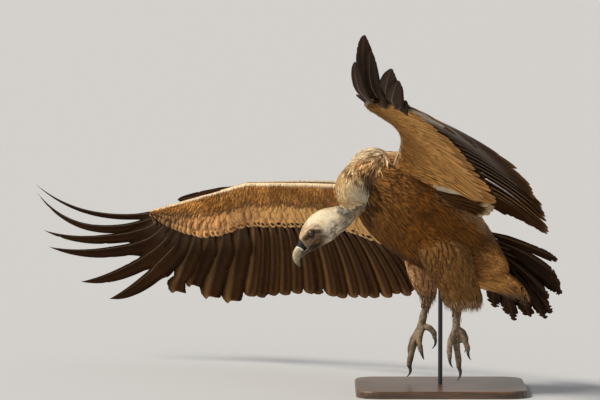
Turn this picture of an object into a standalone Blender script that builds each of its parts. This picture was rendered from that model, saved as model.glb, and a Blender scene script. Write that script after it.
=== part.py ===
"""Griffon vulture at life size, braking to land with its feet down, on a plain display stand.

Metres, +Z up. The origin is the centre of the underside of the stand's base. The bird faces -X
with its left side towards -Y, its body pitched up and banked so that the belly shows from -Y.
"""

import math

import bpy
import numpy as np

# ---- driving dimensions, metres -----------------------------------------------------------------

GAP = 0.0003                       # between two solids that touch
TRIM_GAP = 0.0005                  # how far a cutter is blown up before it trims its neighbour
SHARP_ANGLE = 40                   # degrees between faces from which an edge stays sharp
STEP_ALONG = 0.02                  # share of a line over which its direction is measured

# The trunk's own frame: its middle, and the way it faces.
MIDDLE = (-0.010, 0.000, 0.452)
FACING = (-0.800, -0.200, 0.550)
LEFTWARD = (0.265, -0.954, 0.141)

# Along the trunk from the front: forward of the middle, half width, height above and depth below.
TRUNK_SECTIONS = (
    (0.285, 0.018, 0.030, 0.012),
    (0.270, 0.052, 0.066, 0.038),
    (0.235, 0.086, 0.098, 0.078),
    (0.185, 0.110, 0.116, 0.112),
    (0.120, 0.126, 0.122, 0.130),
    (0.030, 0.130, 0.114, 0.134),
    (-0.060, 0.120, 0.098, 0.122),
    (-0.130, 0.100, 0.074, 0.096),
    (-0.185, 0.076, 0.048, 0.068),
    (-0.225, 0.050, 0.027, 0.044),
    (-0.245, 0.022, 0.010, 0.020),
)
TRUNK_SIDES = 18

# Ruff and neck: points of the middle line, each with a radius.
RUFF_LINE = (
    ((-0.150, -0.048, 0.624), 0.045),
    ((-0.190, -0.062, 0.617), 0.055),
    ((-0.218, -0.086, 0.592), 0.051),
    ((-0.240, -0.098, 0.567), 0.051),
    ((-0.242, -0.101, 0.542), 0.046),
    ((-0.240, -0.101, 0.524), 0.039),
    ((-0.237, -0.101, 0.512), 0.027),
)
NECK_LINE = (
    ((-0.226, -0.095, 0.545), 0.028),
    ((-0.231, -0.099, 0.520), 0.026),
    ((-0.240, -0.100, 0.503), 0.027),
)
NECK_UPWARD = (-0.95, 0, 0.25)     # the neck's nape side
NECK_SIDES = 12
RUFF_SIDES = 14
RUFF_ROWS = 7
HEAD_OVERLAP = 0.006               # how far the neck's last ring sits inside the head
HEAD_OVERLAP_SCALE = 0.97

# The head's own frame: its origin is midway between the eyes.
HEAD_ORIGIN = (-0.351, -0.103, 0.438)
HEAD_FACING = (-0.770, -0.050, -0.640)
HEAD_LEFTWARD = (0.0, -1.0, 0.0)

# Along the head: forward of the eyes, top, bottom, half width.
HEAD_SECTIONS = (
    (-0.104, 0.005, -0.050, 0.026),
    (-0.086, 0.019, -0.052, 0.029),
    (-0.060, 0.032, -0.053, 0.031),
    (-0.034, 0.036, -0.052, 0.031),
    (-0.010, 0.033, -0.048, 0.029),
    (0.010, 0.0265, -0.042, 0.025),
    (0.024, 0.0180, -0.038, 0.020),
    (0.034, 0.0095, -0.035, 0.015),
)
HEAD_SIDES = 14
EYE_RADIUS = 0.0085
EYE_SIDEWAYS = 0.0215
EYE_SIDES = 8
EYE_RINGS = 6
CERE_SECTIONS = ((0.0344, 0.0085, -0.0210, 0.0130), (0.0480, -0.0022, -0.0228, 0.0115))
BILL_SIDES = 10

# Along the upper bill: forward, up, half height, half width, turn down in degrees.
BILL_SECTIONS = (
    (0.0486, -0.0127, 0.0103, 0.0110, 0),
    (0.0565, -0.0156, 0.0110, 0.0102, 18),
    (0.0643, -0.0194, 0.0112, 0.0092, 27),
    (0.0711, -0.0250, 0.0105, 0.0078, 37),
    (0.0760, -0.0328, 0.0087, 0.0060, 49),
    (0.0780, -0.0402, 0.0068, 0.0044, 58),
    (0.0787, -0.0462, 0.0040, 0.0028, 66),
    (0.0792, -0.0505, 0.0010, 0.0010, 76),
)
LOWER_BILL_SECTIONS = (
    (0.0350, -0.0285, 0.0055, 0.0120, 0),
    (0.0480, -0.0300, 0.0048, 0.0098, 4),
    (0.0600, -0.0310, 0.0036, 0.0070, 8),
    (0.0680, -0.0325, 0.0014, 0.0030, 12),
)

# Each wing as ribs from the body outwards: leading edge, edge of the coverts, feather tip.
ARM_RIBS = {
    "right": (
        ((-0.150, 0.010, 0.556), (-0.020, 0.050, 0.430), (0.000, 0.200, 0.300)),
        ((-0.235, 0.100, 0.557), (-0.130, 0.190, 0.388), (-0.074, 0.330, 0.235)),
        ((-0.330, 0.220, 0.553), (-0.255, 0.325, 0.415), (-0.220, 0.480, 0.214)),
        ((-0.430, 0.350, 0.545), (-0.390, 0.460, 0.416), (-0.385, 0.600, 0.210)),
        ((-0.529, 0.470, 0.536), (-0.530, 0.580, 0.408), (-0.557, 0.690, 0.190)),
    ),
    "left": (
        ((-0.140, -0.060, 0.600), (0.060, -0.040, 0.500), (0.150, -0.070, 0.500)),
        ((-0.114, -0.160, 0.676), (0.085, -0.150, 0.540), (0.205, -0.150, 0.487)),
        ((-0.114, -0.270, 0.715), (0.094, -0.250, 0.560), (0.268, -0.250, 0.451)),
        ((-0.136, -0.420, 0.751), (0.040, -0.400, 0.645), (0.262, -0.390, 0.500)),
        ((-0.174, -0.540, 0.780), (-0.030, -0.540, 0.728), (0.232, -0.530, 0.562)),
        ((-0.211, -0.640, 0.804), (-0.105, -0.650, 0.790), (0.190, -0.655, 0.628)),
    ),
}
WRIST_GAP = 0.002                  # as a share of the arm's or hand's length
ARM_THICKNESS = (0.085, 0.060, 0.044, 0.034, 0.026)
HAND_THICKNESS = (0.026, 0.019, 0.009)
ARM_RINGS = 10
HAND_RINGS = 6
ARM_STEP = 0.05                    # share of the arm over which its direction is measured
HAND_STEP = 0.1
AEROFOIL_CHORDS = (0.06, 0.22, 0.48, 0.76, 1.0)    # from the leading edge to the covert edge
AEROFOIL_SWELL = 2.2               # how full the section is behind its leading edge
AEROFOIL_EDGE = 0.06               # the covert edge's thickness, as a share of the section's
AEROFOIL_ARCH = 0.06               # how far the section's middle rises, as a share of its chord

# The hand's leading edge and covert edge, from the wrist to the end of the hand.
HAND_LEADING = {
    "right": ((-0.529, 0.470, 0.536), (-0.621, 0.565, 0.503), (-0.715, 0.655, 0.470), (-0.800, 0.722, 0.441)),
    "left": ((-0.211, -0.640, 0.804), (-0.217, -0.710, 0.814), (-0.212, -0.780, 0.824), (-0.200, -0.850, 0.834)),
}
HAND_COVERT = {
    "right": ((-0.530, 0.580, 0.408), (-0.645, 0.655, 0.371), (-0.745, 0.700, 0.392), (-0.812, 0.726, 0.430)),
    "left": ((-0.105, -0.650, 0.790), (-0.118, -0.730, 0.806), (-0.142, -0.810, 0.820), (-0.178, -0.870, 0.832)),
}

# Tips of the ten primaries from the innermost, and the notches between the last seven.
PRIMARY_TIPS = {
    "right": (
        (-0.612, 0.710, 0.186), (-0.662, 0.735, 0.200), (-0.706, 0.752, 0.206), (-0.748, 0.772, 0.203),
        (-0.934, 0.805, 0.175), (-1.020, 0.842, 0.220), (-1.117, 0.874, 0.317), (-1.135, 0.890, 0.362),
        (-1.155, 0.888, 0.469), (-1.154, 0.868, 0.496),
    ),
    "left": (
        (0.165, -0.725, 0.650), (0.120, -0.805, 0.686), (0.056, -0.900, 0.722), (-0.020, -1.000, 0.768),
        (-0.116, -1.110, 0.840), (-0.142, -1.190, 0.888), (-0.170, -1.250, 0.926), (-0.220, -1.290, 1.004),
        (-0.234, -1.270, 0.988), (-0.252, -1.200, 0.938),
    ),
}
NOTCHES = {
    "right": (
        (-0.765, 0.758, 0.262), (-0.785, 0.764, 0.286), (-0.822, 0.768, 0.318), (-0.838, 0.768, 0.350),
        (-0.850, 0.766, 0.380), (-0.862, 0.762, 0.408), (-0.872, 0.756, 0.430),
    ),
    "left": (
        (-0.066, -0.950, 0.790), (-0.092, -0.975, 0.810), (-0.118, -0.990, 0.826), (-0.148, -1.000, 0.840),
        (-0.178, -1.000, 0.850), (-0.204, -0.990, 0.856), (-0.226, -0.970, 0.856),
    ),
}
FIRST_FINGER = 5                   # primaries 5 to 10 stand apart as fingers
FINGER_HALF_WIDTH = {
    "right": {5: 0.021, 6: 0.022, 7: 0.021, 8: 0.021, 9: 0.020, 10: 0.017},
    "left": {5: 0.016, 6: 0.017, 7: 0.020, 8: 0.021, 9: 0.020, 10: 0.017},
}
FINGER_ROWS = 8
FINGER_RIDGE = 1.5                 # a lone feather is this much thicker along its shaft
FINGER_STACK = 0.0044              # from one finger's layer to the next, above the fan
FINGER_LAYERS = {
    "right": {5: 1, 6: 2, 7: 3, 8: 4, 9: 5, 10: 4},
    "left": {5: 1, 6: 2, 7: 3, 8: 4, 9: 3, 10: 2},
}
FINGER_SAG = {                     # how far each finger hangs below a straight line
    "right": {5: 0.030, 6: 0.032, 7: 0.036, 8: 0.040, 9: 0.048, 10: 0.052},
    "left": {5: 0.044, 6: 0.040, 7: 0.036, 8: 0.034, 9: 0.038, 10: 0.042},
}

ALULA = {                          # root and tip
    "right": ((-0.600, 0.540, 0.517), (-0.731, 0.662, 0.478)),
    "left": ((-0.216, -0.655, 0.816), (-0.236, -0.780, 0.842)),
}
ALULA_HALF_WIDTH = 0.015
ALULA_ROOT_HALF_WIDTH = 0.010
ALULA_SAG = 0.004
ALULA_ROWS = 6

# A single feather: full width by this share of its length, and how its outline then tapers.
FEATHER_FULL_AT = 0.3
FEATHER_TAPER = 2.4
FEATHER_TIP_ROUNDING = 0.75
FEATHER_TIP_HALF_WIDTH = 0.0015
FEATHER_CROWDING = 1.25            # rows stand closer together towards the tip

SECONDARIES = 18
FIRST_SECONDARY = {"right": 0.06, "left": 0.12}    # where the innermost one leaves the arm
SECONDARY_ROWS = 3
SECONDARY_ARCH = 0.05              # how far a sheet of feathers arches, as a share of its length
PRIMARIES = 10
PRIMARY_ROWS = 4
PRIMARY_ARCH = 0.03
PRIMARY_CROWDING = 1.35            # the outer primaries leave the hand closer together
SHEET_THICKNESS = 0.0018
SCALLOP = 0.018                    # how far the edge steps back between two feather tips
ROUNDING = (1.0, 0.28, 0.0, 0.28)  # the share of that step across one feather, from its side

# The tail: the root of the fan, and the tips of its feathers from the left one.
TAIL_ROOT = (0.128, 0.045, 0.388)
TAIL_TIPS = (
    (0.317, -0.110, 0.375), (0.331, -0.062, 0.330), (0.334, -0.018, 0.299), (0.331, 0.022, 0.271),
    (0.322, 0.062, 0.246), (0.306, 0.100, 0.216), (0.290, 0.136, 0.190), (0.268, 0.170, 0.177),
    (0.246, 0.202, 0.178), (0.222, 0.232, 0.180), (0.196, 0.252, 0.186), (0.160, 0.268, 0.203),
)
TAIL_ROWS = 4
TAIL_START = 0.16                  # where the fan begins, as a share of the way from root to tip
TAIL_ARCH = 0.012
OUTER_TAIL_START = 0.12
OUTER_TAIL_DROP = 0.008            # the outermost feather lies this far under the fan
OUTER_TAIL_ARCH = 0.010
OUTER_TAIL_HALF_WIDTH = 0.019
OUTER_TAIL_ROOT_HALF_WIDTH = 0.010
UNDERTAIL_DROP = 0.016
UNDERTAIL_SIDES = 12
UNDERTAIL_LINE = (                 # middle, half width, half thickness
    ((0.085, 0.015, 0.352), 0.070, 0.045),
    ((0.130, 0.035, 0.325), 0.062, 0.040),
    ((0.182, 0.046, 0.300), 0.054, 0.027),
    ((0.225, 0.060, 0.270), 0.037, 0.015),
    ((0.252, 0.076, 0.245), 0.010, 0.004),
)

# Thighs: middle, half width along X, half width along Y.
THIGHS = {
    "left": (
        ((-0.016, -0.070, 0.440), 0.070, 0.050),
        ((0.000, -0.092, 0.395), 0.076, 0.056),
        ((0.020, -0.100, 0.345), 0.072, 0.054),
        ((0.044, -0.098, 0.295), 0.062, 0.044),
        ((0.056, -0.094, 0.258), 0.060, 0.036),
        ((0.058, -0.092, 0.240), 0.050, 0.028),
    ),
    "right": (
        ((-0.050, 0.045, 0.410), 0.052, 0.048),
        ((-0.052, 0.062, 0.360), 0.050, 0.046),
        ((-0.047, 0.070, 0.315), 0.044, 0.040),
        ((-0.038, 0.072, 0.275), 0.036, 0.032),
        ((-0.030, 0.071, 0.248), 0.028, 0.024),
        ((-0.028, 0.071, 0.238), 0.018, 0.016),
    ),
}

THIGH_SIDES = 12

# Feet: the shank, then each toe from the shank's end to its claw, and the claw's tip.
SHANKS = {
    "left": ((0.043, -0.090, 0.290), (0.042, -0.090, 0.240), (0.040, -0.096, 0.205), (0.040, -0.100, 0.176)),
    "right": ((-0.029, 0.071, 0.285), (-0.036, 0.070, 0.235), (-0.044, 0.065, 0.200), (-0.051, 0.060, 0.165)),
}
SHANK_RADIUS = 0.0108
SHANK_SIDES = 10
ANKLE_SWELL = 1.15                 # the shank's lower end against its middle
FOOT_ROWS = 5
TOE_SIDES = 8
TOE_TAPER = (1.02, 1.0, 0.90, 0.74)
TOE_HINT = (0.9, 0.3, 0.1)         # roughly across the way the toes hang
SHANK_HINT = (0, 1, 0.2)
TOES = {
    "left": {
        "middle": ((0.040, -0.100, 0.182), (0.040, -0.113, 0.138), (0.045, -0.121, 0.100), (0.046, -0.124, 0.076)),
        "inner": ((0.036, -0.101, 0.180), (0.024, -0.124, 0.150), (0.020, -0.142, 0.124), (0.021, -0.150, 0.104)),
        "outer": ((0.046, -0.099, 0.180), (0.061, -0.108, 0.152), (0.069, -0.116, 0.132), (0.071, -0.120, 0.120)),
        "hind": ((0.043, -0.096, 0.180), (0.058, -0.078, 0.168), (0.066, -0.066, 0.152), (0.068, -0.061, 0.138)),
    },
    "right": {
        "middle": ((-0.050, 0.060, 0.170), (-0.070, 0.050, 0.124), (-0.080, 0.041, 0.085), (-0.084, 0.036, 0.062)),
        "inner": ((-0.047, 0.057, 0.168), (-0.056, 0.030, 0.138), (-0.054, 0.018, 0.118), (-0.050, 0.014, 0.104)),
        "outer": ((-0.054, 0.064, 0.168), (-0.072, 0.082, 0.134), (-0.079, 0.096, 0.108), (-0.080, 0.103, 0.090)),
        "hind": ((-0.046, 0.060, 0.172), (-0.028, 0.052, 0.167), (-0.016, 0.048, 0.154), (-0.014, 0.046, 0.140)),
    },
}
TOE_RADIUS = {"middle": 0.0098, "inner": 0.0088, "outer": 0.0086, "hind": 0.0092}
CLAW_TIPS = {
    "left": {
        "middle": (0.041, -0.130, 0.043), "inner": (0.030, -0.146, 0.080),
        "outer": (0.079, -0.118, 0.098), "hind": (0.062, -0.066, 0.112),
    },
    "right": {
        "middle": (-0.091, 0.030, 0.036), "inner": (-0.043, 0.020, 0.084),
        "outer": (-0.076, 0.098, 0.064), "hind": (-0.022, 0.046, 0.111),
    },
}
CLAW_BOW = 0.007                   # how far a claw arches away from a straight line
CLAW_ROOT = 0.58                   # a claw's root against its toe's radius
CLAW_RINGS = 5
CLAW_SIDES = 6
CLAW_TAPER = 0.8
CLAW_TIP_RADIUS = 0.0004

BASE_HALF_LENGTH = 0.230
BASE_HALF_WIDTH = 0.190
BASE_HEIGHT = 0.020
BASE_CORNER = 0.060
BASE_CHAMFER = 0.003
ROD_RADIUS = 0.006
ROD_TOP = 0.370
ROD_SIDES = 16

# colour, roughness, metallic
FINISHES = {
    "body_plumage": ((0.36, 0.20, 0.09), 0.85, 0.0),
    "pale_down": ((0.78, 0.68, 0.52), 0.90, 0.0),
    "ruff_down": ((0.72, 0.60, 0.42), 0.90, 0.0),
    "covert_plumage": ((0.42, 0.25, 0.12), 0.85, 0.0),
    "flight_feather": ((0.060, 0.040, 0.028), 0.60, 0.0),
    "tail_feather": ((0.025, 0.018, 0.015), 0.65, 0.0),
    "horn_bill": ((0.42, 0.38, 0.28), 0.35, 0.0),
    "cere_skin": ((0.05, 0.06, 0.055), 0.45, 0.0),
    "eye_gloss": ((0.16, 0.09, 0.04), 0.08, 0.0),
    "foot_skin": ((0.22, 0.21, 0.19), 0.60, 0.0),
    "claw_horn": ((0.03, 0.028, 0.025), 0.35, 0.0),
    "stand_wood": ((0.030, 0.022, 0.017), 0.45, 0.0),
    "stand_steel": ((0.040, 0.040, 0.042), 0.40, 0.5),
}


# ---- vectors and curves -------------------------------------------------------------------------

def unit(vector):
    vector = np.asarray(vector, float)
    return vector / np.linalg.norm(vector)


def frame_axes(forward, leftward):
    """Forward, left and up as unit vectors at right angles."""
    forward = unit(forward)
    up = unit(np.cross(forward, leftward))
    return forward, np.cross(up, forward), up


def along(points, place):
    """The point at place, 0 to 1, on a smooth curve through evenly spaced points."""
    points = np.asarray(points, float)
    last = len(points) - 1
    spot = min(max(place, 0.0), 1.0) * last
    index = min(int(spot), last - 1)
    part = spot - index
    before = points[index - 1] if index else 2 * points[0] - points[1]
    start, end = points[index], points[index + 1]
    after = points[index + 2] if index + 2 <= last else 2 * points[last] - points[last - 1]
    return 0.5 * (
        2 * start
        + (end - before) * part
        + (2 * before - 5 * start + 4 * end - after) * part**2
        + (3 * start - before - 3 * end + after) * part**3
    )


def heading(curve, place):
    """The way a curve of places 0 to 1 runs at one of them."""
    return unit(curve(min(place + STEP_ALONG, 1)) - curve(max(place - STEP_ALONG, 0)))


def value_along(values, place):
    """A smooth value between evenly spaced ones."""
    return float(along([[value] for value in values], place)[0])


def bend(start, end, push, place):
    """A point of the arc from start to end that leaves the straight line by push at its middle."""
    start, end, push = (np.asarray(item, float) for item in (start, end, push))
    return start + (end - start) * place + push * 4 * place * (1 - place)


# ---- materials and objects ----------------------------------------------------------------------

def finish(name):
    """The Principled material of that name, made once."""
    if name in bpy.data.materials:
        return bpy.data.materials[name]
    colour, roughness, metallic = FINISHES[name]
    material = bpy.data.materials.new(name)
    material.use_nodes = True
    shader = material.node_tree.nodes["Principled BSDF"]
    shader.inputs["Base Color"].default_value = (*colour, 1)
    shader.inputs["Roughness"].default_value = roughness
    shader.inputs["Metallic"].default_value = metallic
    return material


def add(name, points, faces, slot):
    """A smooth-shaded object from points and faces."""
    mesh = bpy.data.meshes.new(name)
    mesh.from_pydata([tuple(point) for point in points], [], faces)
    mesh.update()
    mesh.shade_smooth()
    mesh.set_sharp_from_angle(angle=math.radians(SHARP_ANGLE))
    mesh.materials.append(finish(slot))
    obj = bpy.data.objects.new(name, mesh)
    bpy.context.scene.collection.objects.link(obj)
    return obj


def as_helper(obj):
    """Marks an object as a cutter or guide, which isn't part of the bird."""
    obj.hide_render = True
    obj.display_type = "WIRE"
    return obj


def combine(obj, other, operation):
    """Joins another object to this one, or cuts it out."""
    modifier = obj.modifiers.new(operation.title() + "_" + other.name, "BOOLEAN")
    modifier.operation = operation
    modifier.solver = "EXACT"
    modifier.object = other


def trim(obj, *neighbours):
    """Cuts each neighbour, blown up by a hair, out of the object, so that the two never touch."""
    for neighbour in neighbours:
        name = "cutter_" + neighbour.name
        cutter = bpy.data.objects.get(name)
        if cutter is None:
            mesh = neighbour.data.copy()
            normals = [vertex.normal.copy() for vertex in mesh.vertices]
            for vertex, normal in zip(mesh.vertices, normals):
                vertex.co += normal * TRIM_GAP
            cutter = bpy.data.objects.new(name, mesh)
            bpy.context.scene.collection.objects.link(cutter)
            as_helper(cutter)
        combine(obj, cutter, "DIFFERENCE")


def skin_rings(name, rings, slot):
    """A closed solid through rings of equal length, capped at both ends."""
    count = len(rings[0])
    points = [point for ring in rings for point in ring]
    faces = [list(range(count))[::-1]]
    for row in range(len(rings) - 1):
        for side in range(count):
            low = row * count + side
            high = row * count + (side + 1) % count
            faces.append([low, high, high + count, low + count])
    start = (len(rings) - 1) * count
    faces.append(list(range(start, start + count)))
    return oriented(add(name, points, faces, slot))


def oriented(obj):
    """Turns a closed mesh the right way out."""
    mesh = obj.data
    mesh.calc_loop_triangles()
    corners = np.array([[mesh.vertices[i].co[:] for i in tri.vertices] for tri in mesh.loop_triangles])
    if np.linalg.det(corners).sum() < 0:
        mesh.flip_normals()
    mesh.update()
    return obj


def ellipse(centre, across, upward, half_width, above, below, sides):
    """Points round an egg-shaped section."""
    ring = []
    for step in range(sides):
        angle = 2 * math.pi * step / sides
        height = above if math.sin(angle) >= 0 else below
        ring.append(
            np.asarray(centre) + np.asarray(across) * half_width * math.cos(angle)
            + np.asarray(upward) * height * math.sin(angle)
        )
    return ring


def tube(name, line, slot, sides, rows, hint=(0, -1, 0)):
    """A round-ended tube along a line of (point, radius)."""
    centres = [np.array(point) for point, _ in line]
    radii = [radius for _, radius in line]
    rings = []
    for row in range(rows):
        place = row / (rows - 1)
        ahead = heading(lambda spot: along(centres, spot), place)
        across = unit(np.cross(ahead, hint))
        upward = unit(np.cross(across, ahead))
        radius = value_along(radii, place)
        rings.append(ellipse(along(centres, place), across, upward, radius, radius, radius, sides))
    return skin_rings(name, rings, slot)


def slab(name, rows, slot, ridge=1.0):
    """A thin closed sheet whose middle surface is the grid of rows, thicker inside by ridge."""
    grid = np.array(rows)
    down, across = np.gradient(grid, axis=0), np.gradient(grid, axis=1)
    normal = np.cross(down, across)
    normal /= np.linalg.norm(normal, axis=2, keepdims=True)
    height, width = grid.shape[:2]
    swell = np.ones(width)
    swell[1:-1] = ridge
    lift = normal * (SHEET_THICKNESS / 2) * swell[None, :, None]
    points = np.concatenate([(grid + lift).reshape(-1, 3), (grid - lift).reshape(-1, 3)])
    under = height * width
    faces = []
    for i in range(height - 1):
        for j in range(width - 1):
            corner = i * width + j
            quad = [corner, corner + 1, corner + width + 1, corner + width]
            faces.append(quad)
            faces.append([under + spot for spot in reversed(quad)])
    edge = list(range(width))
    edge += [i * width + width - 1 for i in range(1, height)]
    edge += [(height - 1) * width + j for j in range(width - 2, -1, -1)]
    edge += [i * width for i in range(height - 2, 0, -1)]
    for here, after in zip(edge, edge[1:] + edge[:1]):
        faces.append([after, here, under + here, under + after])
    return oriented(add(name, points, faces, slot))


# ---- trunk, neck and head -----------------------------------------------------------------------

def make_trunk():
    forward, left, up = frame_axes(FACING, LEFTWARD)
    rings = []
    for ahead, half_width, above, below in TRUNK_SECTIONS:
        centre = np.array(MIDDLE) + forward * ahead
        rings.append(ellipse(centre, left, up, half_width, above, below, TRUNK_SIDES))
    return skin_rings("trunk", rings, "body_plumage")


def make_neck_and_ruff(trunk, head):
    """The short bare neck, and the thick ruff that it comes out of."""
    ruff = tube("ruff", RUFF_LINE, "ruff_down", RUFF_SIDES, RUFF_ROWS)
    trim(ruff, trunk)
    forward, _, up = frame_axes(HEAD_FACING, HEAD_LEFTWARD)
    ahead, top, bottom, half_width = HEAD_SECTIONS[0]
    inside = np.array(HEAD_ORIGIN) + forward * (ahead + HEAD_OVERLAP) + up * (top + bottom) / 2
    half = (top - bottom) / 2 * HEAD_OVERLAP_SCALE
    head_end = ellipse(inside, HEAD_LEFTWARD, up, half_width * HEAD_OVERLAP_SCALE, half, half, NECK_SIDES)
    rings = []
    for point, radius in NECK_LINE:
        rings.append(ellipse(point, HEAD_LEFTWARD, unit(NECK_UPWARD), radius, radius, radius, NECK_SIDES))
    neck = skin_rings("neck", [*rings, head_end], "pale_down")
    trim(neck, trunk, ruff, head)


def head_rings(sections, sides):
    forward, left, up = frame_axes(HEAD_FACING, HEAD_LEFTWARD)
    rings = []
    for ahead, top, bottom, half_width in sections:
        centre = np.array(HEAD_ORIGIN) + forward * ahead + up * (top + bottom) / 2
        half = (top - bottom) / 2
        rings.append(ellipse(centre, left, up, half_width, half, half, sides))
    return rings


def bill_rings(sections, sides):
    """Rings that turn downwards along a hooked bill."""
    forward, left, up = frame_axes(HEAD_FACING, HEAD_LEFTWARD)
    rings = []
    for ahead, height, half_height, half_width, turn in sections:
        centre = np.array(HEAD_ORIGIN) + forward * ahead + up * height
        angle = math.radians(turn)
        upward = up * math.cos(angle) + forward * math.sin(angle)
        rings.append(ellipse(centre, left, upward, half_width, half_height, half_height, sides))
    return rings


def make_head():
    """The head with its eyes, the cere and both halves of the bill."""
    head = skin_rings("head", head_rings(HEAD_SECTIONS, HEAD_SIDES), "pale_down")
    cere = skin_rings("cere", head_rings(CERE_SECTIONS, BILL_SIDES), "cere_skin")
    upper = skin_rings("bill_upper", bill_rings(BILL_SECTIONS, BILL_SIDES), "horn_bill")
    lower = skin_rings("bill_lower", bill_rings(LOWER_BILL_SECTIONS, BILL_SIDES), "horn_bill")
    trim(lower, upper, head, cere)
    forward, left, up = frame_axes(HEAD_FACING, HEAD_LEFTWARD)
    for side, sign in (("left", 1), ("right", -1)):
        centre = np.array(HEAD_ORIGIN) + left * sign * EYE_SIDEWAYS
        rings = []
        for step in range(1, EYE_RINGS + 1):
            angle = math.pi * step / (EYE_RINGS + 1)
            ring_centre = centre + forward * EYE_RADIUS * math.cos(angle)
            size = EYE_RADIUS * math.sin(angle)
            rings.append(ellipse(ring_centre, left, up, size, size, size, EYE_SIDES))
        eye = skin_rings("eye_" + side, rings, "eye_gloss")
        trim(head, eye)
    return head


# ---- wings --------------------------------------------------------------------------------------

def rib(side, place):
    """Leading edge, covert edge and feather tip of the arm at place, 0 at the body, 1 at the wrist."""
    return [along([item[part] for item in ARM_RIBS[side]], place) for part in range(3)]


def dorsal(side, leading, covert, outward):
    """The unit vector that leaves the wing's upper side."""
    sign = 1 if side == "left" else -1
    return sign * unit(np.cross(outward, covert - leading))


def arm_normal(side, place):
    """The unit vector that leaves the arm's upper side at place."""
    leading, covert, _ = rib(side, place)
    before, after = max(place - ARM_STEP, 0), min(place + ARM_STEP, 1)
    return dorsal(side, leading, covert, rib(side, after)[0] - rib(side, before)[0])


def wing_section(leading, covert, normal, thickness):
    """A closed aerofoil ring, arched upwards, from the leading edge round to the covert edge."""
    upper, lower = [], []
    for chord in AEROFOIL_CHORDS:
        swell = thickness * (AEROFOIL_SWELL * math.sqrt(chord) * (1 - chord) + AEROFOIL_EDGE)
        push = normal * AEROFOIL_ARCH * np.linalg.norm(covert - leading)
        middle = bend(leading, covert, push, chord)
        upper.append(middle + normal * swell / 2)
        lower.append(middle - normal * swell / 2)
    return [leading, *upper, *lower[::-1]]


def make_arm(side, trunk):
    """The fleshy arm with its coverts, from the shoulder to the wrist."""
    rings = []
    for step in range(ARM_RINGS):
        place = step / (ARM_RINGS - 1) * (1 - WRIST_GAP)
        leading, covert, _ = rib(side, place)
        thickness = value_along(ARM_THICKNESS, place)
        rings.append(wing_section(leading, covert, arm_normal(side, place), thickness))
    arm = skin_rings(f"wing_{side}_arm", rings, "covert_plumage")
    trim(arm, trunk)
    return arm


def make_hand(side):
    """The hand with its coverts, from the wrist to where the last primaries leave it."""
    rings = []
    for step in range(HAND_RINGS):
        place = WRIST_GAP + (1 - WRIST_GAP) * step / (HAND_RINGS - 1)
        leading = along(HAND_LEADING[side], place)
        covert = along(HAND_COVERT[side], place)
        before, after = max(place - HAND_STEP, 0), min(place + HAND_STEP, 1)
        outward = along(HAND_LEADING[side], after) - along(HAND_LEADING[side], before)
        normal = dorsal(side, leading, covert, outward)
        rings.append(wing_section(leading, covert, normal, value_along(HAND_THICKNESS, place)))
    return skin_rings(f"wing_{side}_hand", rings, "covert_plumage")


def fan_row(base, tip, normal, row, rows, arch):
    """A point on the arched line from the covert edge to a feather's tip."""
    part = row / (rows - 1)
    start = base + unit(tip - base) * TRIM_GAP
    return bend(start, tip, normal * arch * np.linalg.norm(tip - base), part)


def make_secondaries(side, trunk, arm):
    """The secondaries as one sheet with a scalloped edge."""
    across = len(ROUNDING)
    columns = across * SECONDARIES + 1
    grid = [[None] * columns for _ in range(SECONDARY_ROWS)]
    first = FIRST_SECONDARY[side]
    for column in range(columns):
        place = first + (1 - WRIST_GAP - first) * column / (columns - 1)
        _, covert, tip = rib(side, place)
        normal = arm_normal(side, place)
        tip = tip - unit(tip - covert) * SCALLOP * ROUNDING[column % across]
        for row in range(SECONDARY_ROWS):
            grid[row][column] = fan_row(covert, tip, normal, row, SECONDARY_ROWS, SECONDARY_ARCH)
    sheet = slab(f"wing_{side}_secondaries", grid, "flight_feather")
    trim(sheet, trunk, arm)


def primary_base(side, number):
    """Where a primary leaves the coverts, from 0 at the wrist, numbered from the innermost."""
    return along(HAND_COVERT[side], 1 - (1 - (number - 0.5) / PRIMARIES) ** PRIMARY_CROWDING)


def hand_normal(side):
    """The unit vector that leaves the upper side of the hand and its primaries."""
    wrist = np.array(HAND_LEADING[side][0])
    outward = np.array(PRIMARY_TIPS[side][-1]) - wrist
    return dorsal(side, wrist, np.array(PRIMARY_TIPS[side][0]), outward)


def fan_ends(side):
    """Where each column of the primary fan starts on the coverts, and where it ends."""
    first_covert, first_tip = rib(side, 1.0)[1:]
    seam = unit(np.array(PRIMARY_TIPS[side][0]) - first_tip) * 2 * TRIM_GAP
    tips = [first_tip, *(np.array(tip) for tip in PRIMARY_TIPS[side][: FIRST_FINGER - 1])]
    ends = []
    for number in range(1, FIRST_FINGER):
        tip = tips[number]
        inner = (tips[number - 1] + tip) / 2 if number > 1 else first_tip + seam
        outer = (tip + tips[number + 1]) / 2 if number < FIRST_FINGER - 1 else tip + (tip - inner)
        for step, rounding in enumerate(ROUNDING):
            base = primary_base(side, number - 0.5 + step / len(ROUNDING))
            spot = 2 * step / len(ROUNDING)
            across = inner + (tip - inner) * spot if spot < 1 else tip + (outer - tip) * (spot - 1)
            ends.append((base, across - unit(across - base) * SCALLOP * rounding))
    ends[0] = (first_covert + seam, ends[0][1])
    notches = [np.array(point) for point in NOTCHES[side]]
    for number, notch in enumerate(notches):
        ends.append((primary_base(side, number + FIRST_FINGER - 0.5), notch))
        if number < len(notches) - 1:
            ends.append((primary_base(side, number + FIRST_FINGER), (notch + notches[number + 1]) / 2))
    return ends


def make_primary_fan(side, hand):
    """The inner primaries and the closed part of the outer ones as one sheet."""
    normal = hand_normal(side)
    grid = []
    for row in range(PRIMARY_ROWS):
        grid.append([
            fan_row(base, end, normal, row, PRIMARY_ROWS, PRIMARY_ARCH) for base, end in fan_ends(side)
        ])
    fan = slab(f"wing_{side}_primary_fan", grid, "flight_feather")
    trim(fan, hand)


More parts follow.
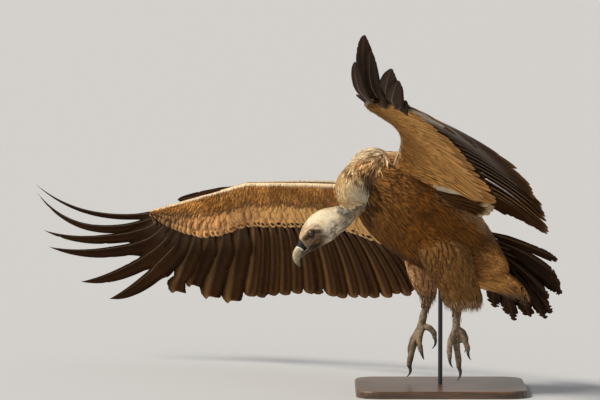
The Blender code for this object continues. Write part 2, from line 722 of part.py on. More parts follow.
def feather_grid(start, tip, push, half_width, across, start_half_width, rows):
    """A single feather's surface: narrow at first, full at a third, tapering to its tip."""
    grid = []
    for row in range(rows):
        part = 1 - (1 - row / (rows - 1)) ** FEATHER_CROWDING
        centre = bend(start, tip, push, part)
        ahead = heading(lambda spot: bend(start, tip, push, spot), part)
        sideways = unit(across - ahead * np.dot(across, ahead))
        taper = max(1 - part**FEATHER_TAPER, 0.0) ** FEATHER_TIP_ROUNDING
        full = half_width * taper + FEATHER_TIP_HALF_WIDTH
        blend = min(part / FEATHER_FULL_AT, 1.0)
        half = start_half_width * (1 - blend) + full * blend
        grid.append([centre - sideways * half, centre, centre + sideways * half])
    return grid


def make_fingers(side):
    """The outer primaries, each bent up by the air, from the notches to their tips."""
    normal = hand_normal(side)
    notches = [np.array(point) for point in NOTCHES[side]]
    for number in range(FIRST_FINGER, PRIMARIES + 1):
        inner, outer = notches[number - FIRST_FINGER], notches[number - FIRST_FINGER + 1]
        tip = np.array(PRIMARY_TIPS[side][number - 1])
        middle = (inner + outer) / 2
        start = middle + unit(tip - middle) * 2 * TRIM_GAP
        across = outer - inner
        across -= normal * np.dot(across, normal)
        lift = normal * FINGER_STACK * FINGER_LAYERS[side][number]
        root_width = np.linalg.norm(across) / 2 - 2 * TRIM_GAP
        push = -normal * FINGER_SAG[side][number]
        half_width = FINGER_HALF_WIDTH[side][number]
        grid = feather_grid(start + lift, tip + lift, push, half_width, across, root_width, FINGER_ROWS)
        finger = slab(f"wing_{side}_primary_{number}", grid, "flight_feather", FINGER_RIDGE)
        if number > FIRST_FINGER:
            trim(finger, bpy.data.objects[f"wing_{side}_primary_{number - 1}"])


def make_alula(side, hand):
    """The small feathered thumb on the hand's leading edge."""
    root, tip = (np.array(point) for point in ALULA[side])
    normal = hand_normal(side)
    across = np.cross(tip - root, normal)
    push = -normal * ALULA_SAG
    grid = feather_grid(root, tip, push, ALULA_HALF_WIDTH, across, ALULA_ROOT_HALF_WIDTH, ALULA_ROWS)
    alula = slab(f"wing_{side}_alula", grid, "flight_feather", FINGER_RIDGE)
    trim(alula, hand)


# ---- tail ---------------------------------------------------------------------------------------

def tail_normal():
    """The unit vector that leaves the tail's upper side."""
    root = np.array(TAIL_ROOT)
    return unit(np.cross(np.array(TAIL_TIPS[0]) - root, np.array(TAIL_TIPS[-1]) - root))


def make_tail(trunk):
    """The fan of tail feathers, its outermost left one apart, over the undertail coverts."""
    root = np.array(TAIL_ROOT)
    normal = tail_normal()
    tips = [np.array(tip) for tip in TAIL_TIPS]
    last_column = len(ROUNDING) * (len(tips) - 1) - 2
    columns = []
    for column in range(last_column + 1):
        end = along(tips[1:], column / last_column)
        rounding = ROUNDING[(column + 1) % len(ROUNDING)]
        columns.append(end - unit(end - root) * SCALLOP * rounding)
    grid = []
    for row in range(TAIL_ROWS):
        part = TAIL_START + (1 - TAIL_START) * row / (TAIL_ROWS - 1)
        grid.append([bend(root, tip, normal * TAIL_ARCH, part) for tip in columns])
    fan = slab("tail_fan", grid, "tail_feather")
    start = root + (tips[0] - root) * OUTER_TAIL_START - normal * OUTER_TAIL_DROP
    grid = feather_grid(
        start,
        tips[0],
        normal * OUTER_TAIL_ARCH,
        OUTER_TAIL_HALF_WIDTH,
        tips[1] - tips[0],
        OUTER_TAIL_ROOT_HALF_WIDTH,
        FINGER_ROWS,
    )
    outer = slab("tail_outer_left", grid, "tail_feather", FINGER_RIDGE)
    across = unit(tips[-1] - tips[0])
    rings = []
    for centre, half_width, half_height in UNDERTAIL_LINE:
        centre = np.array(centre) - normal * UNDERTAIL_DROP
        rings.append(ellipse(centre, across, normal, half_width, half_height, half_height, UNDERTAIL_SIDES))
    undertail = skin_rings("undertail_coverts", rings, "body_plumage")
    trim(undertail, trunk)
    trim(outer, trunk, undertail)
    trim(fan, trunk, undertail, outer)


# ---- legs and stand -----------------------------------------------------------------------------

def make_thighs(trunk, rod):
    """The feathered thighs, clear of the rod between them."""
    thighs = {}
    for side, sections in THIGHS.items():
        rings = []
        for centre, half_x, half_y in sections:
            rings.append(ellipse(centre, (1, 0, 0), (0, 1, 0), half_x, half_y, half_y, THIGH_SIDES))
        thighs[side] = skin_rings("thigh_" + side, rings, "body_plumage")
        trim(thighs[side], trunk, rod, bpy.data.objects["undertail_coverts"])
    trim(thighs["right"], thighs["left"])
    return thighs


def make_foot(side, thigh):
    """A shank with its four toes as one solid, and the four claws."""
    line = [(point, SHANK_RADIUS) for point in SHANKS[side]]
    line[-1] = (SHANKS[side][-1], SHANK_RADIUS * ANKLE_SWELL)
    foot = tube("foot_" + side, line, "foot_skin", SHANK_SIDES, FOOT_ROWS, SHANK_HINT)
    for toe, points in TOES[side].items():
        radius = TOE_RADIUS[toe]
        line = [(point, radius * taper) for point, taper in zip(points, TOE_TAPER)]
        solid = tube(f"toe_{side}_{toe}", line, "foot_skin", TOE_SIDES, FOOT_ROWS, TOE_HINT)
        combine(foot, as_helper(solid), "UNION")
        make_claw(side, toe, points, radius * CLAW_ROOT)
    trim(foot, thigh)


def make_claw(side, toe, points, radius):
    """A tapering claw that carries on from the toe and hooks to its tip."""
    end = np.array(points[-1])
    onward = heading(lambda spot: along(points, spot), 1)
    tip = np.array(CLAW_TIPS[side][toe])
    start = end + onward * GAP
    chord = tip - start
    outward = onward - unit(chord) * np.dot(onward, unit(chord))
    push = unit(outward) * CLAW_BOW
    across = unit(np.cross(onward, TOE_HINT))
    rings = []
    for step in range(CLAW_RINGS):
        part = step / (CLAW_RINGS - 1)
        ahead = heading(lambda spot: bend(start, tip, push, spot), part) if step else onward
        sideways = unit(across - ahead * np.dot(across, ahead))
        size = radius * (1 - part) ** CLAW_TAPER + CLAW_TIP_RADIUS
        centre = bend(start, tip, push, part)
        rings.append(ellipse(centre, sideways, np.cross(sideways, ahead), size, size, size, CLAW_SIDES))
    skin_rings(f"claw_{side}_{toe}", rings, "claw_horn")


def rounded_outline(half_x, half_y, corner, height, steps=5):
    """A rectangle with round corners, at one height."""
    ring = []
    for centre_x, centre_y, first in ((1, 1, 0), (-1, 1, 90), (-1, -1, 180), (1, -1, 270)):
        for step in range(steps + 1):
            angle = math.radians(first + 90 * step / steps)
            x = centre_x * (half_x - corner) + corner * math.cos(angle)
            y = centre_y * (half_y - corner) + corner * math.sin(angle)
            ring.append(np.array((x, y, height)))
    return ring


def make_stand():
    """A flat base with a chamfered rim, and the rod that holds the bird under its belly."""
    rings = []
    for inset, height in ((0, 0), (0, BASE_HEIGHT - BASE_CHAMFER), (BASE_CHAMFER, BASE_HEIGHT)):
        rings.append(
            rounded_outline(BASE_HALF_LENGTH - inset, BASE_HALF_WIDTH - inset, BASE_CORNER - inset, height)
        )
    skin_rings("stand_base", rings, "stand_wood")
    rings = []
    for height in (BASE_HEIGHT + GAP, ROD_TOP):
        centre = (0, 0, height)
        rings.append(ellipse(centre, (1, 0, 0), (0, 1, 0), ROD_RADIUS, ROD_RADIUS, ROD_RADIUS, ROD_SIDES))
    return skin_rings("stand_rod", rings, "stand_steel")


def main():
    for obj in list(bpy.data.objects):
        bpy.data.objects.remove(obj)
    rod = make_stand()
    trunk = make_trunk()
    trim(rod, trunk)
    head = make_head()
    make_neck_and_ruff(trunk, head)
    for side in ("right", "left"):
        arm = make_arm(side, trunk)
        hand = make_hand(side)
        make_secondaries(side, trunk, arm)
        make_primary_fan(side, hand)
        make_fingers(side)
        make_alula(side, hand)
    make_tail(trunk)
    thighs = make_thighs(trunk, rod)
    for side in ("right", "left"):
        make_foot(side, thighs[side])


main()
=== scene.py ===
"""Griffon vulture: the looks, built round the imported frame.

Metres, +Z up, in the frame's own axes: the bird faces -X, its left side is towards -Y. One skin
stands for the nodes of flesh. Every feather is a thin closed mesh whose colour comes from its
place on the bird, by the same functions that colour the skin under it.
"""

import math

import bmesh
import bpy
import numpy as np
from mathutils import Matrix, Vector
from mathutils.bvhtree import BVHTree
from mathutils.kdtree import KDTree


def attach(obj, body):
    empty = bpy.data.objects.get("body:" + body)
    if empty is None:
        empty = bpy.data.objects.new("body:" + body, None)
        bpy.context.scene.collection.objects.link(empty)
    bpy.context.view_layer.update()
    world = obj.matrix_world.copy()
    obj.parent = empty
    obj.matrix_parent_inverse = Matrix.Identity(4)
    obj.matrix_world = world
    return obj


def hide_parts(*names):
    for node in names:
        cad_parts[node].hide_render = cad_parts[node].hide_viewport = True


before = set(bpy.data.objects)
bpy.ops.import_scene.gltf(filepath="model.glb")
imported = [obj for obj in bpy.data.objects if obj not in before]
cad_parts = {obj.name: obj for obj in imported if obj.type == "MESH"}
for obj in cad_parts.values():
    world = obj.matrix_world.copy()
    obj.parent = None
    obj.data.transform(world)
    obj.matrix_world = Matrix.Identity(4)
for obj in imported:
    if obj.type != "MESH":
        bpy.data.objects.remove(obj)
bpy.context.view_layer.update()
random = np.random.default_rng(11)

# ---- the bird's driving dimensions, as the frame was built from -----------------------------------

FACING = (-0.800, -0.200, 0.550)
LEFTWARD = (0.265, -0.954, 0.141)
MIDDLE = (-0.010, 0.000, 0.452)

HEAD_ORIGIN = (-0.351, -0.103, 0.438)
HEAD_FACING = (-0.770, -0.050, -0.640)
HEAD_LEFTWARD = (0.0, -1.0, 0.0)
# the head and cere: how far ahead of the eyes, top, bottom and half width
HEAD_SECTIONS = (
    (-0.104, 0.005, -0.050, 0.026),
    (-0.086, 0.019, -0.052, 0.029),
    (-0.060, 0.032, -0.053, 0.031),
    (-0.034, 0.036, -0.052, 0.031),
    (-0.010, 0.033, -0.048, 0.029),
    (0.010, 0.0265, -0.044, 0.025),
    (0.024, 0.0180, -0.041, 0.020),
    (0.034, 0.0095, -0.038, 0.015),
)
EYE_RADIUS = 0.0085
EYE_SIDEWAYS = 0.0215
EYE_OPENING = (0.0068, 0.0054)      # half length and half height
LID_RADIUS = 0.00065
EYE_SLANT = -12                     # degrees that the opening dips towards the bill
CERE_SECTIONS = (
    (0.0325, 0.0092, -0.0215, 0.0136),
    (0.0400, 0.0036, -0.0225, 0.0130),
    (0.0492, -0.0022, -0.0230, 0.0114),
)
# the bill: how far ahead, height, half height, half width, and turn downwards in degrees
BILL_SECTIONS = (
    (0.0470, -0.0122, 0.0104, 0.0112, 0),
    (0.0510, -0.0130, 0.0110, 0.0111, 8),
    (0.0565, -0.0156, 0.0116, 0.0106, 18),
    (0.0643, -0.0194, 0.0116, 0.0094, 27),
    (0.0711, -0.0250, 0.0107, 0.0078, 37),
    (0.0760, -0.0328, 0.0088, 0.0060, 49),
    (0.0780, -0.0402, 0.0068, 0.0044, 58),
    (0.0787, -0.0462, 0.0040, 0.0028, 66),
    (0.0792, -0.0505, 0.0012, 0.0010, 76),
)
LOWER_BILL_SECTIONS = (
    (0.0270, -0.0290, 0.0070, 0.0128, 0),
    (0.0480, -0.0285, 0.0064, 0.0098, 4),
    (0.0600, -0.0295, 0.0050, 0.0070, 8),
    (0.0680, -0.0315, 0.0020, 0.0030, 12),
)

# the arm's ribs from the shoulder to the wrist: leading edge, covert edge, tip of the feathers
ARM_RIBS = {
    "right": (
        ((-0.150, 0.010, 0.556), (-0.020, 0.050, 0.430), (0.000, 0.200, 0.300)),
        ((-0.235, 0.100, 0.557), (-0.130, 0.190, 0.388), (-0.074, 0.330, 0.235)),
        ((-0.330, 0.220, 0.553), (-0.255, 0.325, 0.415), (-0.220, 0.480, 0.214)),
        ((-0.430, 0.350, 0.545), (-0.390, 0.460, 0.416), (-0.385, 0.600, 0.210)),
        ((-0.529, 0.470, 0.536), (-0.530, 0.580, 0.408), (-0.557, 0.690, 0.190)),
    ),
    "left": (
        ((-0.140, -0.060, 0.600), (0.060, -0.040, 0.500), (0.150, -0.070, 0.500)),
        ((-0.114, -0.160, 0.676), (0.085, -0.150, 0.540), (0.205, -0.150, 0.487)),
        ((-0.114, -0.270, 0.715), (0.094, -0.250, 0.560), (0.268, -0.250, 0.451)),
        ((-0.136, -0.420, 0.751), (0.040, -0.400, 0.645), (0.262, -0.390, 0.500)),
        ((-0.174, -0.540, 0.780), (-0.030, -0.540, 0.728), (0.232, -0.530, 0.562)),
        ((-0.211, -0.640, 0.804), (-0.105, -0.650, 0.790), (0.190, -0.655, 0.628)),
    ),
}
# how thick the wing is from the shoulder to the wrist, and from there to the end of the hand
ARM_THICKNESS = (0.085, 0.060, 0.044, 0.034, 0.026)
HAND_THICKNESS = (0.026, 0.019, 0.009)
# its section: the thickness' swell behind the leading edge and least share, and the middle's arch
AEROFOIL_SWELL = 2.2
AEROFOIL_EDGE = 0.06
AEROFOIL_ARCH = 0.06
# the hand's edges from the wrist outwards
HAND_LEADING = {
    "right": (
        (-0.529, 0.470, 0.536), (-0.621, 0.565, 0.503), (-0.715, 0.655, 0.470), (-0.800, 0.722, 0.441),
    ),
    "left": (
        (-0.211, -0.640, 0.804), (-0.217, -0.710, 0.814), (-0.212, -0.780, 0.824), (-0.200, -0.850, 0.834),
    ),
}
HAND_COVERT = {
    "right": (
        (-0.530, 0.580, 0.408), (-0.645, 0.655, 0.371), (-0.745, 0.700, 0.392), (-0.812, 0.726, 0.430),
    ),
    "left": (
        (-0.105, -0.650, 0.790), (-0.118, -0.730, 0.806), (-0.142, -0.810, 0.820), (-0.178, -0.870, 0.832),
    ),
}
PRIMARIES = 10
# tips of the primaries, from the one next to the wrist
PRIMARY_TIPS = {
    "right": (
        (-0.612, 0.710, 0.186), (-0.662, 0.735, 0.200), (-0.706, 0.752, 0.206), (-0.748, 0.772, 0.203),
        (-0.934, 0.805, 0.175), (-1.020, 0.842, 0.220), (-1.117, 0.874, 0.317), (-1.135, 0.890, 0.362),
        (-1.155, 0.888, 0.469), (-1.154, 0.868, 0.496),
    ),
    "left": (
        (0.165, -0.725, 0.650), (0.120, -0.805, 0.686), (0.056, -0.900, 0.722), (-0.020, -1.000, 0.768),
        (-0.116, -1.110, 0.840), (-0.142, -1.190, 0.888), (-0.170, -1.250, 0.926), (-0.220, -1.290, 1.004),
        (-0.234, -1.270, 0.988), (-0.252, -1.200, 0.938),
    ),
}
# where the fingers part from each other, from the first finger's inner side outwards
NOTCHES = {
    "right": (
        (-0.765, 0.758, 0.262), (-0.785, 0.764, 0.286), (-0.822, 0.768, 0.318), (-0.838, 0.768, 0.350),
        (-0.840, 0.766, 0.385), (-0.806, 0.762, 0.414), (-0.790, 0.740, 0.436),
    ),
    "left": (
        (-0.066, -0.950, 0.790), (-0.092, -0.975, 0.810), (-0.118, -0.990, 0.826), (-0.148, -1.000, 0.840),
        (-0.178, -1.000, 0.850), (-0.204, -0.990, 0.856), (-0.226, -0.970, 0.856),
    ),
}
FIRST_FINGER = 5
FINGER_WIDTH = {
    "right": {5: 0.044, 6: 0.042, 7: 0.038, 8: 0.034, 9: 0.030, 10: 0.020},
    "left": {5: 0.040, 6: 0.054, 7: 0.060, 8: 0.050, 9: 0.062, 10: 0.040},
}
# root and tip; the near wing's hand points at the viewer, so its fingers leave it close together
LEFT_FINGERS = {
    5: ((-0.125, -0.740, 0.803), (-0.118, -1.000, 0.835)),
    6: ((-0.138, -0.750, 0.807), (-0.141, -1.190, 0.890)),
    7: ((-0.152, -0.770, 0.814), (-0.160, -1.240, 0.919)),
    8: ((-0.176, -0.780, 0.815), (-0.212, -1.255, 0.962)),
    9: ((-0.188, -0.790, 0.817), (-0.226, -1.280, 1.002)),
    10: ((-0.202, -0.800, 0.820), (-0.247, -1.200, 0.936)),
}
LEFT_FINGER_SAG = 0.016
# the inner primaries' tips aren't evenly spread
INNER_TIP_SHIFT = {
    "right": {
        1: (0.030, -0.012, -0.008), 2: (0.018, -0.006, -0.012),
        3: (0.012, -0.006, 0.014), 4: (0.006, 0, -0.004),
    },
    "left": {},
}
# how early a finger begins to taper: low is pointed, high is round
FINGER_POINT = {"right": (1.9, 0.95), "left": (4.6, 0.60)}
FINGER_STACK = 0.0044               # from one layer of fingers to the next
FINGER_SMOOTHING = 12               # rounds that even out a far finger's bend at its notch
FINGER_LAYERS = {
    "right": {5: 1, 6: 2, 7: 3, 8: 4, 9: 5, 10: 4},
    "left": {5: 1, 6: 2, 7: 3, 8: 4, 9: 3, 10: 2},
}
RIGHT_FINGER_SAG = {5: 0.018, 6: 0.019, 7: 0.022, 8: 0.026, 9: 0.064, 10: 0.046}
PRIMARY_CROWDING = 1.35             # above 1 the outer primaries' roots stand closer together
PRIMARY_ARCH = 0.03
SECONDARIES = 18
SECONDARY_ARCH = 0.05
SPLIT_SECONDARY = 9                 # the near wing's secondaries part beside this one
SPLIT_WIDTH = 0.014
FIRST_SECONDARY = {"right": 0.06, "left": 0.12}
# how far each root lies out from its tip, at the body
SECONDARY_LAG = {"right": 0.14, "left": 0.04}
ALULA = {
    "right": ((-0.600, 0.540, 0.517), (-0.731, 0.662, 0.478)),
    "left": ((-0.216, -0.655, 0.816), (-0.236, -0.780, 0.842)),
}
ALULA_WIDTH = {"right": 0.034, "left": 0.044}
TAIL_ROOT = (0.128, 0.045, 0.388)
# tips of the tail feathers, from the near side to the far one
TAIL_TIPS = (
    (0.317, -0.110, 0.375), (0.331, -0.062, 0.330), (0.334, -0.018, 0.299), (0.331, 0.022, 0.271),
    (0.322, 0.062, 0.246), (0.306, 0.100, 0.216), (0.290, 0.136, 0.190), (0.268, 0.170, 0.177),
    (0.246, 0.202, 0.178), (0.222, 0.232, 0.180), (0.196, 0.252, 0.186), (0.160, 0.268, 0.203),
)
TAIL_MIDDLE = (len(TAIL_TIPS) - 1) / 2
# how the worn feathers' tips and roots lie off an even fan; the outer one on the near side stands apart
TAIL_SHIFTS = {
    0: (0.000, 0.000, 0.002), 1: (-0.016, 0.004, -0.011), 2: (-0.007, 0.002, -0.007),
    3: (-0.003, 0.000, -0.003), 4: (-0.018, 0.000, -0.004), 5: (0.000, 0.000, -0.014),
    6: (0.000, 0.000, -0.005), 7: (-0.015, 0.000, 0.009), 8: (-0.004, 0.000, 0.010),
    9: (-0.012, 0.000, -0.004),
}
TAIL_ROOT_SHIFTS = {
    0: (-0.006, -0.004, 0.036), 1: (-0.002, 0.000, 0.022), 2: (0.000, 0.000, 0.012),
    3: (0.000, 0.000, 0.005),
}
# points down each shank, and along each toe from its root
SHANKS = {
    "left": (
        (0.043, -0.090, 0.290), (0.042, -0.090, 0.240), (0.040, -0.096, 0.205), (0.040, -0.100, 0.176),
    ),
    "right": (
        (-0.029, 0.071, 0.285), (-0.036, 0.070, 0.235), (-0.044, 0.065, 0.200), (-0.051, 0.060, 0.165),
    ),
}
SHANK_RADIUS = 0.0108
TOES = {
    "left": {
        "middle": (
            (0.040, -0.100, 0.182), (0.040, -0.113, 0.138), (0.045, -0.121, 0.100), (0.046, -0.124, 0.076),
        ),
        "inner": (
            (0.036, -0.101, 0.180), (0.024, -0.124, 0.150), (0.020, -0.142, 0.124), (0.021, -0.150, 0.104),
        ),
        "outer": (
            (0.046, -0.099, 0.180), (0.061, -0.108, 0.152), (0.069, -0.116, 0.132), (0.071, -0.120, 0.120),
        ),
        "hind": (
            (0.043, -0.096, 0.180), (0.058, -0.078, 0.168), (0.066, -0.066, 0.152), (0.068, -0.061, 0.138),
        ),
    },
    "right": {
        "middle": (
            (-0.050, 0.060, 0.170), (-0.070, 0.050, 0.124), (-0.080, 0.041, 0.085), (-0.084, 0.036, 0.062),
        ),
        "inner": (
            (-0.047, 0.057, 0.168), (-0.056, 0.030, 0.138), (-0.054, 0.018, 0.118), (-0.050, 0.014, 0.104),
        ),
        "outer": (
            (-0.054, 0.064, 0.168), (-0.072, 0.082, 0.134), (-0.079, 0.096, 0.108), (-0.080, 0.103, 0.090),
        ),
        "hind": (
            (-0.046, 0.060, 0.172), (-0.028, 0.052, 0.167), (-0.016, 0.048, 0.154), (-0.014, 0.046, 0.140),
        ),
    },
}
TOE_RADIUS = {"middle": 0.0088, "inner": 0.0078, "outer": 0.0077, "hind": 0.0082}
TOE_TAPER = (1.02, 1.0, 0.90, 0.74)
CLAW_TIPS = {
    "left": {
        "middle": (0.041, -0.130, 0.043), "inner": (0.030, -0.146, 0.080),
        "outer": (0.079, -0.118, 0.098), "hind": (0.062, -0.066, 0.112),
    },
    "right": {
        "middle": (-0.091, 0.030, 0.036), "inner": (-0.043, 0.020, 0.084),
        "outer": (-0.076, 0.098, 0.064), "hind": (-0.022, 0.046, 0.111),
    },
}
CLAW_BOW = 0.007                    # how far a claw's middle lies off the line from root to tip
CLAW_ROOT = 0.58                    # its radius at the root, as a share of its toe's

# ---- the skin and the coat ------------------------------------------------------------------------

VOXEL = 0.0059                      # the cells that join the solids of flesh into one skin
# how deep the skin lies under each solid's surface
COAT_DEPTH = {
    "trunk": 0.008, "ruff": 0.010, "neck": 0.0016, "head": 0.0012, "undertail": 0.007,
    "thigh": 0.008, "arm": 0.004, "hand": 0.003, "foot": 0.0,
}
# the CAD nodes of each region of the skin
FLESH = {
    "trunk": ["trunk"], "ruff": ["ruff"], "neck": ["neck"], "head": ["head"],
    "undertail": ["undertail_coverts"], "thigh": ["thigh_left", "thigh_right"],
    "arm": ["wing_left_arm", "wing_right_arm"], "hand": ["wing_left_hand", "wing_right_hand"],
    "foot": ["foot_left", "foot_right"],
}
REGIONS = list(FLESH)
SIDES = ("right", "left")

CREAM = (0.78, 0.62, 0.42)
TAN = (0.285, 0.112, 0.019)

# ---- vectors, curves and noise --------------------------------------------------------------------

def unit(vectors):
    """Vectors of length one, along the last axis."""
    vectors = np.asarray(vectors, float)
    return vectors / np.maximum(np.linalg.norm(vectors, axis=-1, keepdims=True), 1e-12)


def dot(first, second):
    return (first * second).sum(-1, keepdims=True)


def flatten(vectors, normal):
    """The share of the vectors that lies across the normal, as unit vectors."""
    return unit(vectors - normal * dot(vectors, normal))


def frame_axes(forward, leftward):
    """Forward, left and up as unit vectors at right angles."""
    forward = unit(forward)
    up = unit(np.cross(forward, leftward))
    return forward, np.cross(up, forward), up


TRUNK_AXES = frame_axes(FACING, LEFTWARD)
HEAD_AXES = frame_axes(HEAD_FACING, HEAD_LEFTWARD)


def along(points, places):
    """Points at places, 0 to 1, on a smooth curve through evenly spaced points."""
    points = np.asarray(points, float)
    if points.ndim == 1:
        points = points[:, None]
    padded = np.concatenate([2 * points[:1] - points[1:2], points, 2 * points[-1:] - points[-2:-1]])
    spot = np.clip(np.asarray(places, float), 0, 1) * (len(points) - 1)
    index = np.minimum(spot.astype(int), len(points) - 2)
    part = (spot - index)[..., None]
    before, start, end, after = (padded[index + step] for step in range(4))
    return 0.5 * (
        2 * start
        + (end - before) * part
        + (2 * before - 5 * start + 4 * end - after) * part**2
        + (3 * start - before - 3 * end + after) * part**3
    )


def value_along(values, places):
    return along(values, places)[..., 0]


def smooth(value, low, high):
    """0 below low, 1 above high, with a soft step between."""
    part = np.clip((value - low) / (high - low), 0, 1)
    return part * part * (3 - 2 * part)


def mix(first, second, share):
    share = np.asarray(share)[..., None]
    return np.asarray(first) * (1 - share) + np.asarray(second) * share


def noise(points, scale, seed=0):
    """Smooth value noise from 0 to 1 with cells of that size."""
    grid = np.asarray(points) / scale
    cell = np.floor(grid).astype(np.int64)
    part = grid - cell
    part = part * part * (3 - 2 * part)
    total = np.zeros(grid.shape[:-1])
    for corner in range(8):
        offset = np.array([corner & 1, corner >> 1 & 1, corner >> 2 & 1])
        key = (cell + offset) @ np.array([73856093, 19349663, 83492791]) + seed * 7919
        key = (key ^ (key >> 13)) * 1274126177 & 0xFFFFFFFF
        value = ((key ^ (key >> 16)) & 0xFFFF) / 65535
        total += value * np.prod(np.where(offset == 1, part, 1 - part), axis=-1)
    return total


def spread(count, low, high):
    """Random numbers between two values."""
    return random.uniform(low, high, count)


# ---- meshes ---------------------------------------------------------------------------------------

def new_object(name, mesh, material=None):
    obj = bpy.data.objects.new(name, mesh)
    bpy.context.scene.collection.objects.link(obj)
    if material:
        mesh.materials.append(material)
    return obj


def mesh_from(name, points, corners, sizes):
    """A mesh from points, the corners of its faces in a row, and each face's number of corners."""
    mesh = bpy.data.meshes.new(name)
    mesh.vertices.add(len(points))
    mesh.vertices.foreach_set("co", np.asarray(points, np.float32).ravel())
    mesh.loops.add(len(corners))
    mesh.loops.foreach_set("vertex_index", np.asarray(corners, np.int32))
    mesh.polygons.add(len(sizes))
    starts = np.concatenate([[0], np.cumsum(sizes)[:-1]])
    mesh.polygons.foreach_set("loop_start", starts.astype(np.int32))
    mesh.update(calc_edges=True)
    mesh.shade_smooth()
    return mesh


def set_colour(mesh, name, values):
    """A colour for each point, under that attribute name."""
    rgba = np.ones((len(mesh.vertices), 4), np.float32)
    rgba[:, :3] = values
    mesh.attributes.new(name, "FLOAT_COLOR", "POINT").data.foreach_set("color", rgba.ravel())


def set_map(mesh, name, values):
    """A UV map from one place for each corner."""
    mesh.uv_layers.new(name=name).data.foreach_set("uv", np.asarray(values, np.float32).ravel())


def read_points(mesh, what):
    """What the mesh's points hold under that name: co, their places, or normal."""
    values = np.empty(len(mesh.vertices) * 3, np.float32)
    mesh.vertices.foreach_get(what, values)
    return values.reshape(-1, 3).astype(float)


def triangles_of(mesh):
    mesh.calc_loop_triangles()
    corners = np.empty(len(mesh.loop_triangles) * 3, np.int32)
    mesh.loop_triangles.foreach_get("vertices", corners)
    return corners.reshape(-1, 3)


class Coat:
    """Gathers many small closed shapes into one mesh with its colours and maps."""

    LISTS = ("points", "corners", "sizes", "vane", "bake", "tint", "marks")

    def __init__(self):
        self.lists = {name: [] for name in self.LISTS}
        self.count = 0

    def add(self, points, corners, sizes, vane, bake, tint, marks):
        """Adds shapes: vane and bake are places for each corner, tint and marks for each point."""
        items = (points, corners + self.count, sizes, vane, bake, tint, marks)
        for name, item in zip(self.LISTS, items):
            self.lists[name].append(item)
        self.count += len(points)

    def build(self, name, material, slot, *nodes):
        """The piece, which stands for those CAD nodes."""
        whole = {key: np.concatenate(items) for key, items in self.lists.items()}
        mesh = mesh_from(name, whole["points"], whole["corners"], whole["sizes"])
        set_map(mesh, "Vane", whole["vane"])
        set_map(mesh, "OFBake", whole["bake"])
        set_colour(mesh, "tint", whole["tint"])
        set_colour(mesh, "marks", whole["marks"])
        return finish_piece(new_object(name, mesh, material), slot, *nodes)


def finish_piece(obj, slot, *nodes):
    """Ties the piece to its body and hides the CAD nodes that it stands for; slot is not used."""
    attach(obj, "root")
    if nodes:
        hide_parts(*nodes)
    return obj


def ring_faces(rows, columns):
    """The faces of one closed feather: rings of points from its root, and one point at its tip."""
    faces = [list(range(columns))[::-1]]
    for row in range(rows - 1):
        for column in range(columns):
            low = row * columns + column
            high = row * columns + (column + 1) % columns
            faces.append([low, high, high + columns, low + columns])
    last = (rows - 1) * columns
    for column in range(columns):
        faces.append([last + column, last + (column + 1) % columns, rows * columns])
    return faces


BAKE_PATCH = 0.003
TUFT_PATCH = (BAKE_PATCH, BAKE_PATCH)
TENT = ((-1.0, 0.0), (0.0, 1.0), (1.0, 0.0))


def plant(coat, line, side, lift, half, crown, tint, marks, root_map,
          section=TENT, patch=TUFT_PATCH, steps=None):
    """Adds feathers, each a closed shape along its line with that section.

    line is (feathers, rows + 1, 3) with the tip last, side and lift are its directions across and
    away from the body, half and crown its half width and height at each row.
    """
    count, rows = half.shape
    places, heights = np.array(section)[:, 0], np.array(section)[:, 1]
    columns = len(places)
    body = (
        line[:, :rows, None]
        + side[:, :rows, None] * (half[:, :, None] * places)[..., None]
        + lift[:, :rows, None] * (crown[:, :, None] * heights)[..., None]
    )
    points = np.concatenate([body.reshape(count, rows * columns, 3), line[:, rows:]], axis=1)
    steps = np.linspace(0, 1, rows + 1) if steps is None else steps
    across = np.append(np.tile((places + 1) / 2, rows), 0.5)
    onward = np.append(np.repeat(steps[:-1], columns), 1.0)
    vane = np.stack([across, onward], axis=1)
    faces = ring_faces(rows, columns)
    shape = np.concatenate(faces)
    per_feather = rows * columns + 1
    corners = (shape[None] + np.arange(count)[:, None] * per_feather).ravel()
    sizes = np.tile([len(face) for face in faces], count)
    bake = root_map[:, None] + (vane[shape][None] - 0.5) * patch
    tint = np.broadcast_to(tint if tint.ndim == 3 else tint[:, None], (count, rows + 1, 3))
    body_tint = np.repeat(tint[:, :rows], columns, axis=1)
    tint = np.concatenate([body_tint, tint[:, rows:]], axis=1)
    marks = np.repeat(np.broadcast_to(marks, (count, 3)), per_feather, axis=0)
    coat.add(
        points.reshape(-1, 3),
        corners,
        sizes,
        np.tile(vane[shape], (count, 1)),
        bake.reshape(-1, 2),
        tint.reshape(-1, 3),
        marks,
    )


def lance(steps):
    """Half width along a pointed contour feather."""
    return np.minimum(steps / 0.35, 1) ** 0.6 * np.maximum(1 - np.maximum(steps - 0.35, 0) / 0.65, 0) ** 0.55


def rounded(steps):
    """Half width along a feather with a round end."""
    opening = np.minimum(0.55 + steps / 0.5 * 0.45, 1)
    return opening * np.sqrt(np.maximum(1 - np.maximum((steps - 0.70) / 0.30, 0) ** 2.2, 0.0))


def steps_of(shape, rows):
    """Places along a feather: rows stand closer together near a round tip."""
    return 1 - (1 - np.linspace(0, 1, rows + 1)) ** (1.8 if shape is rounded else 1.0)


def strand(steps):
    """Half width along a wisp of down."""
    return (1 - steps) ** 0.6 * np.minimum(0.5 + steps * 2, 1)


# ---- materials ------------------------------------------------------------------------------------

VANE_BARBS = 140.0                  # barbs along one flight feather
# the dark spot near a covert's tip: shares of its half width and of its length
SPOT_WIDTH = 0.50
SPOT_PLACE = 0.80
SPOT_LENGTH = 0.085


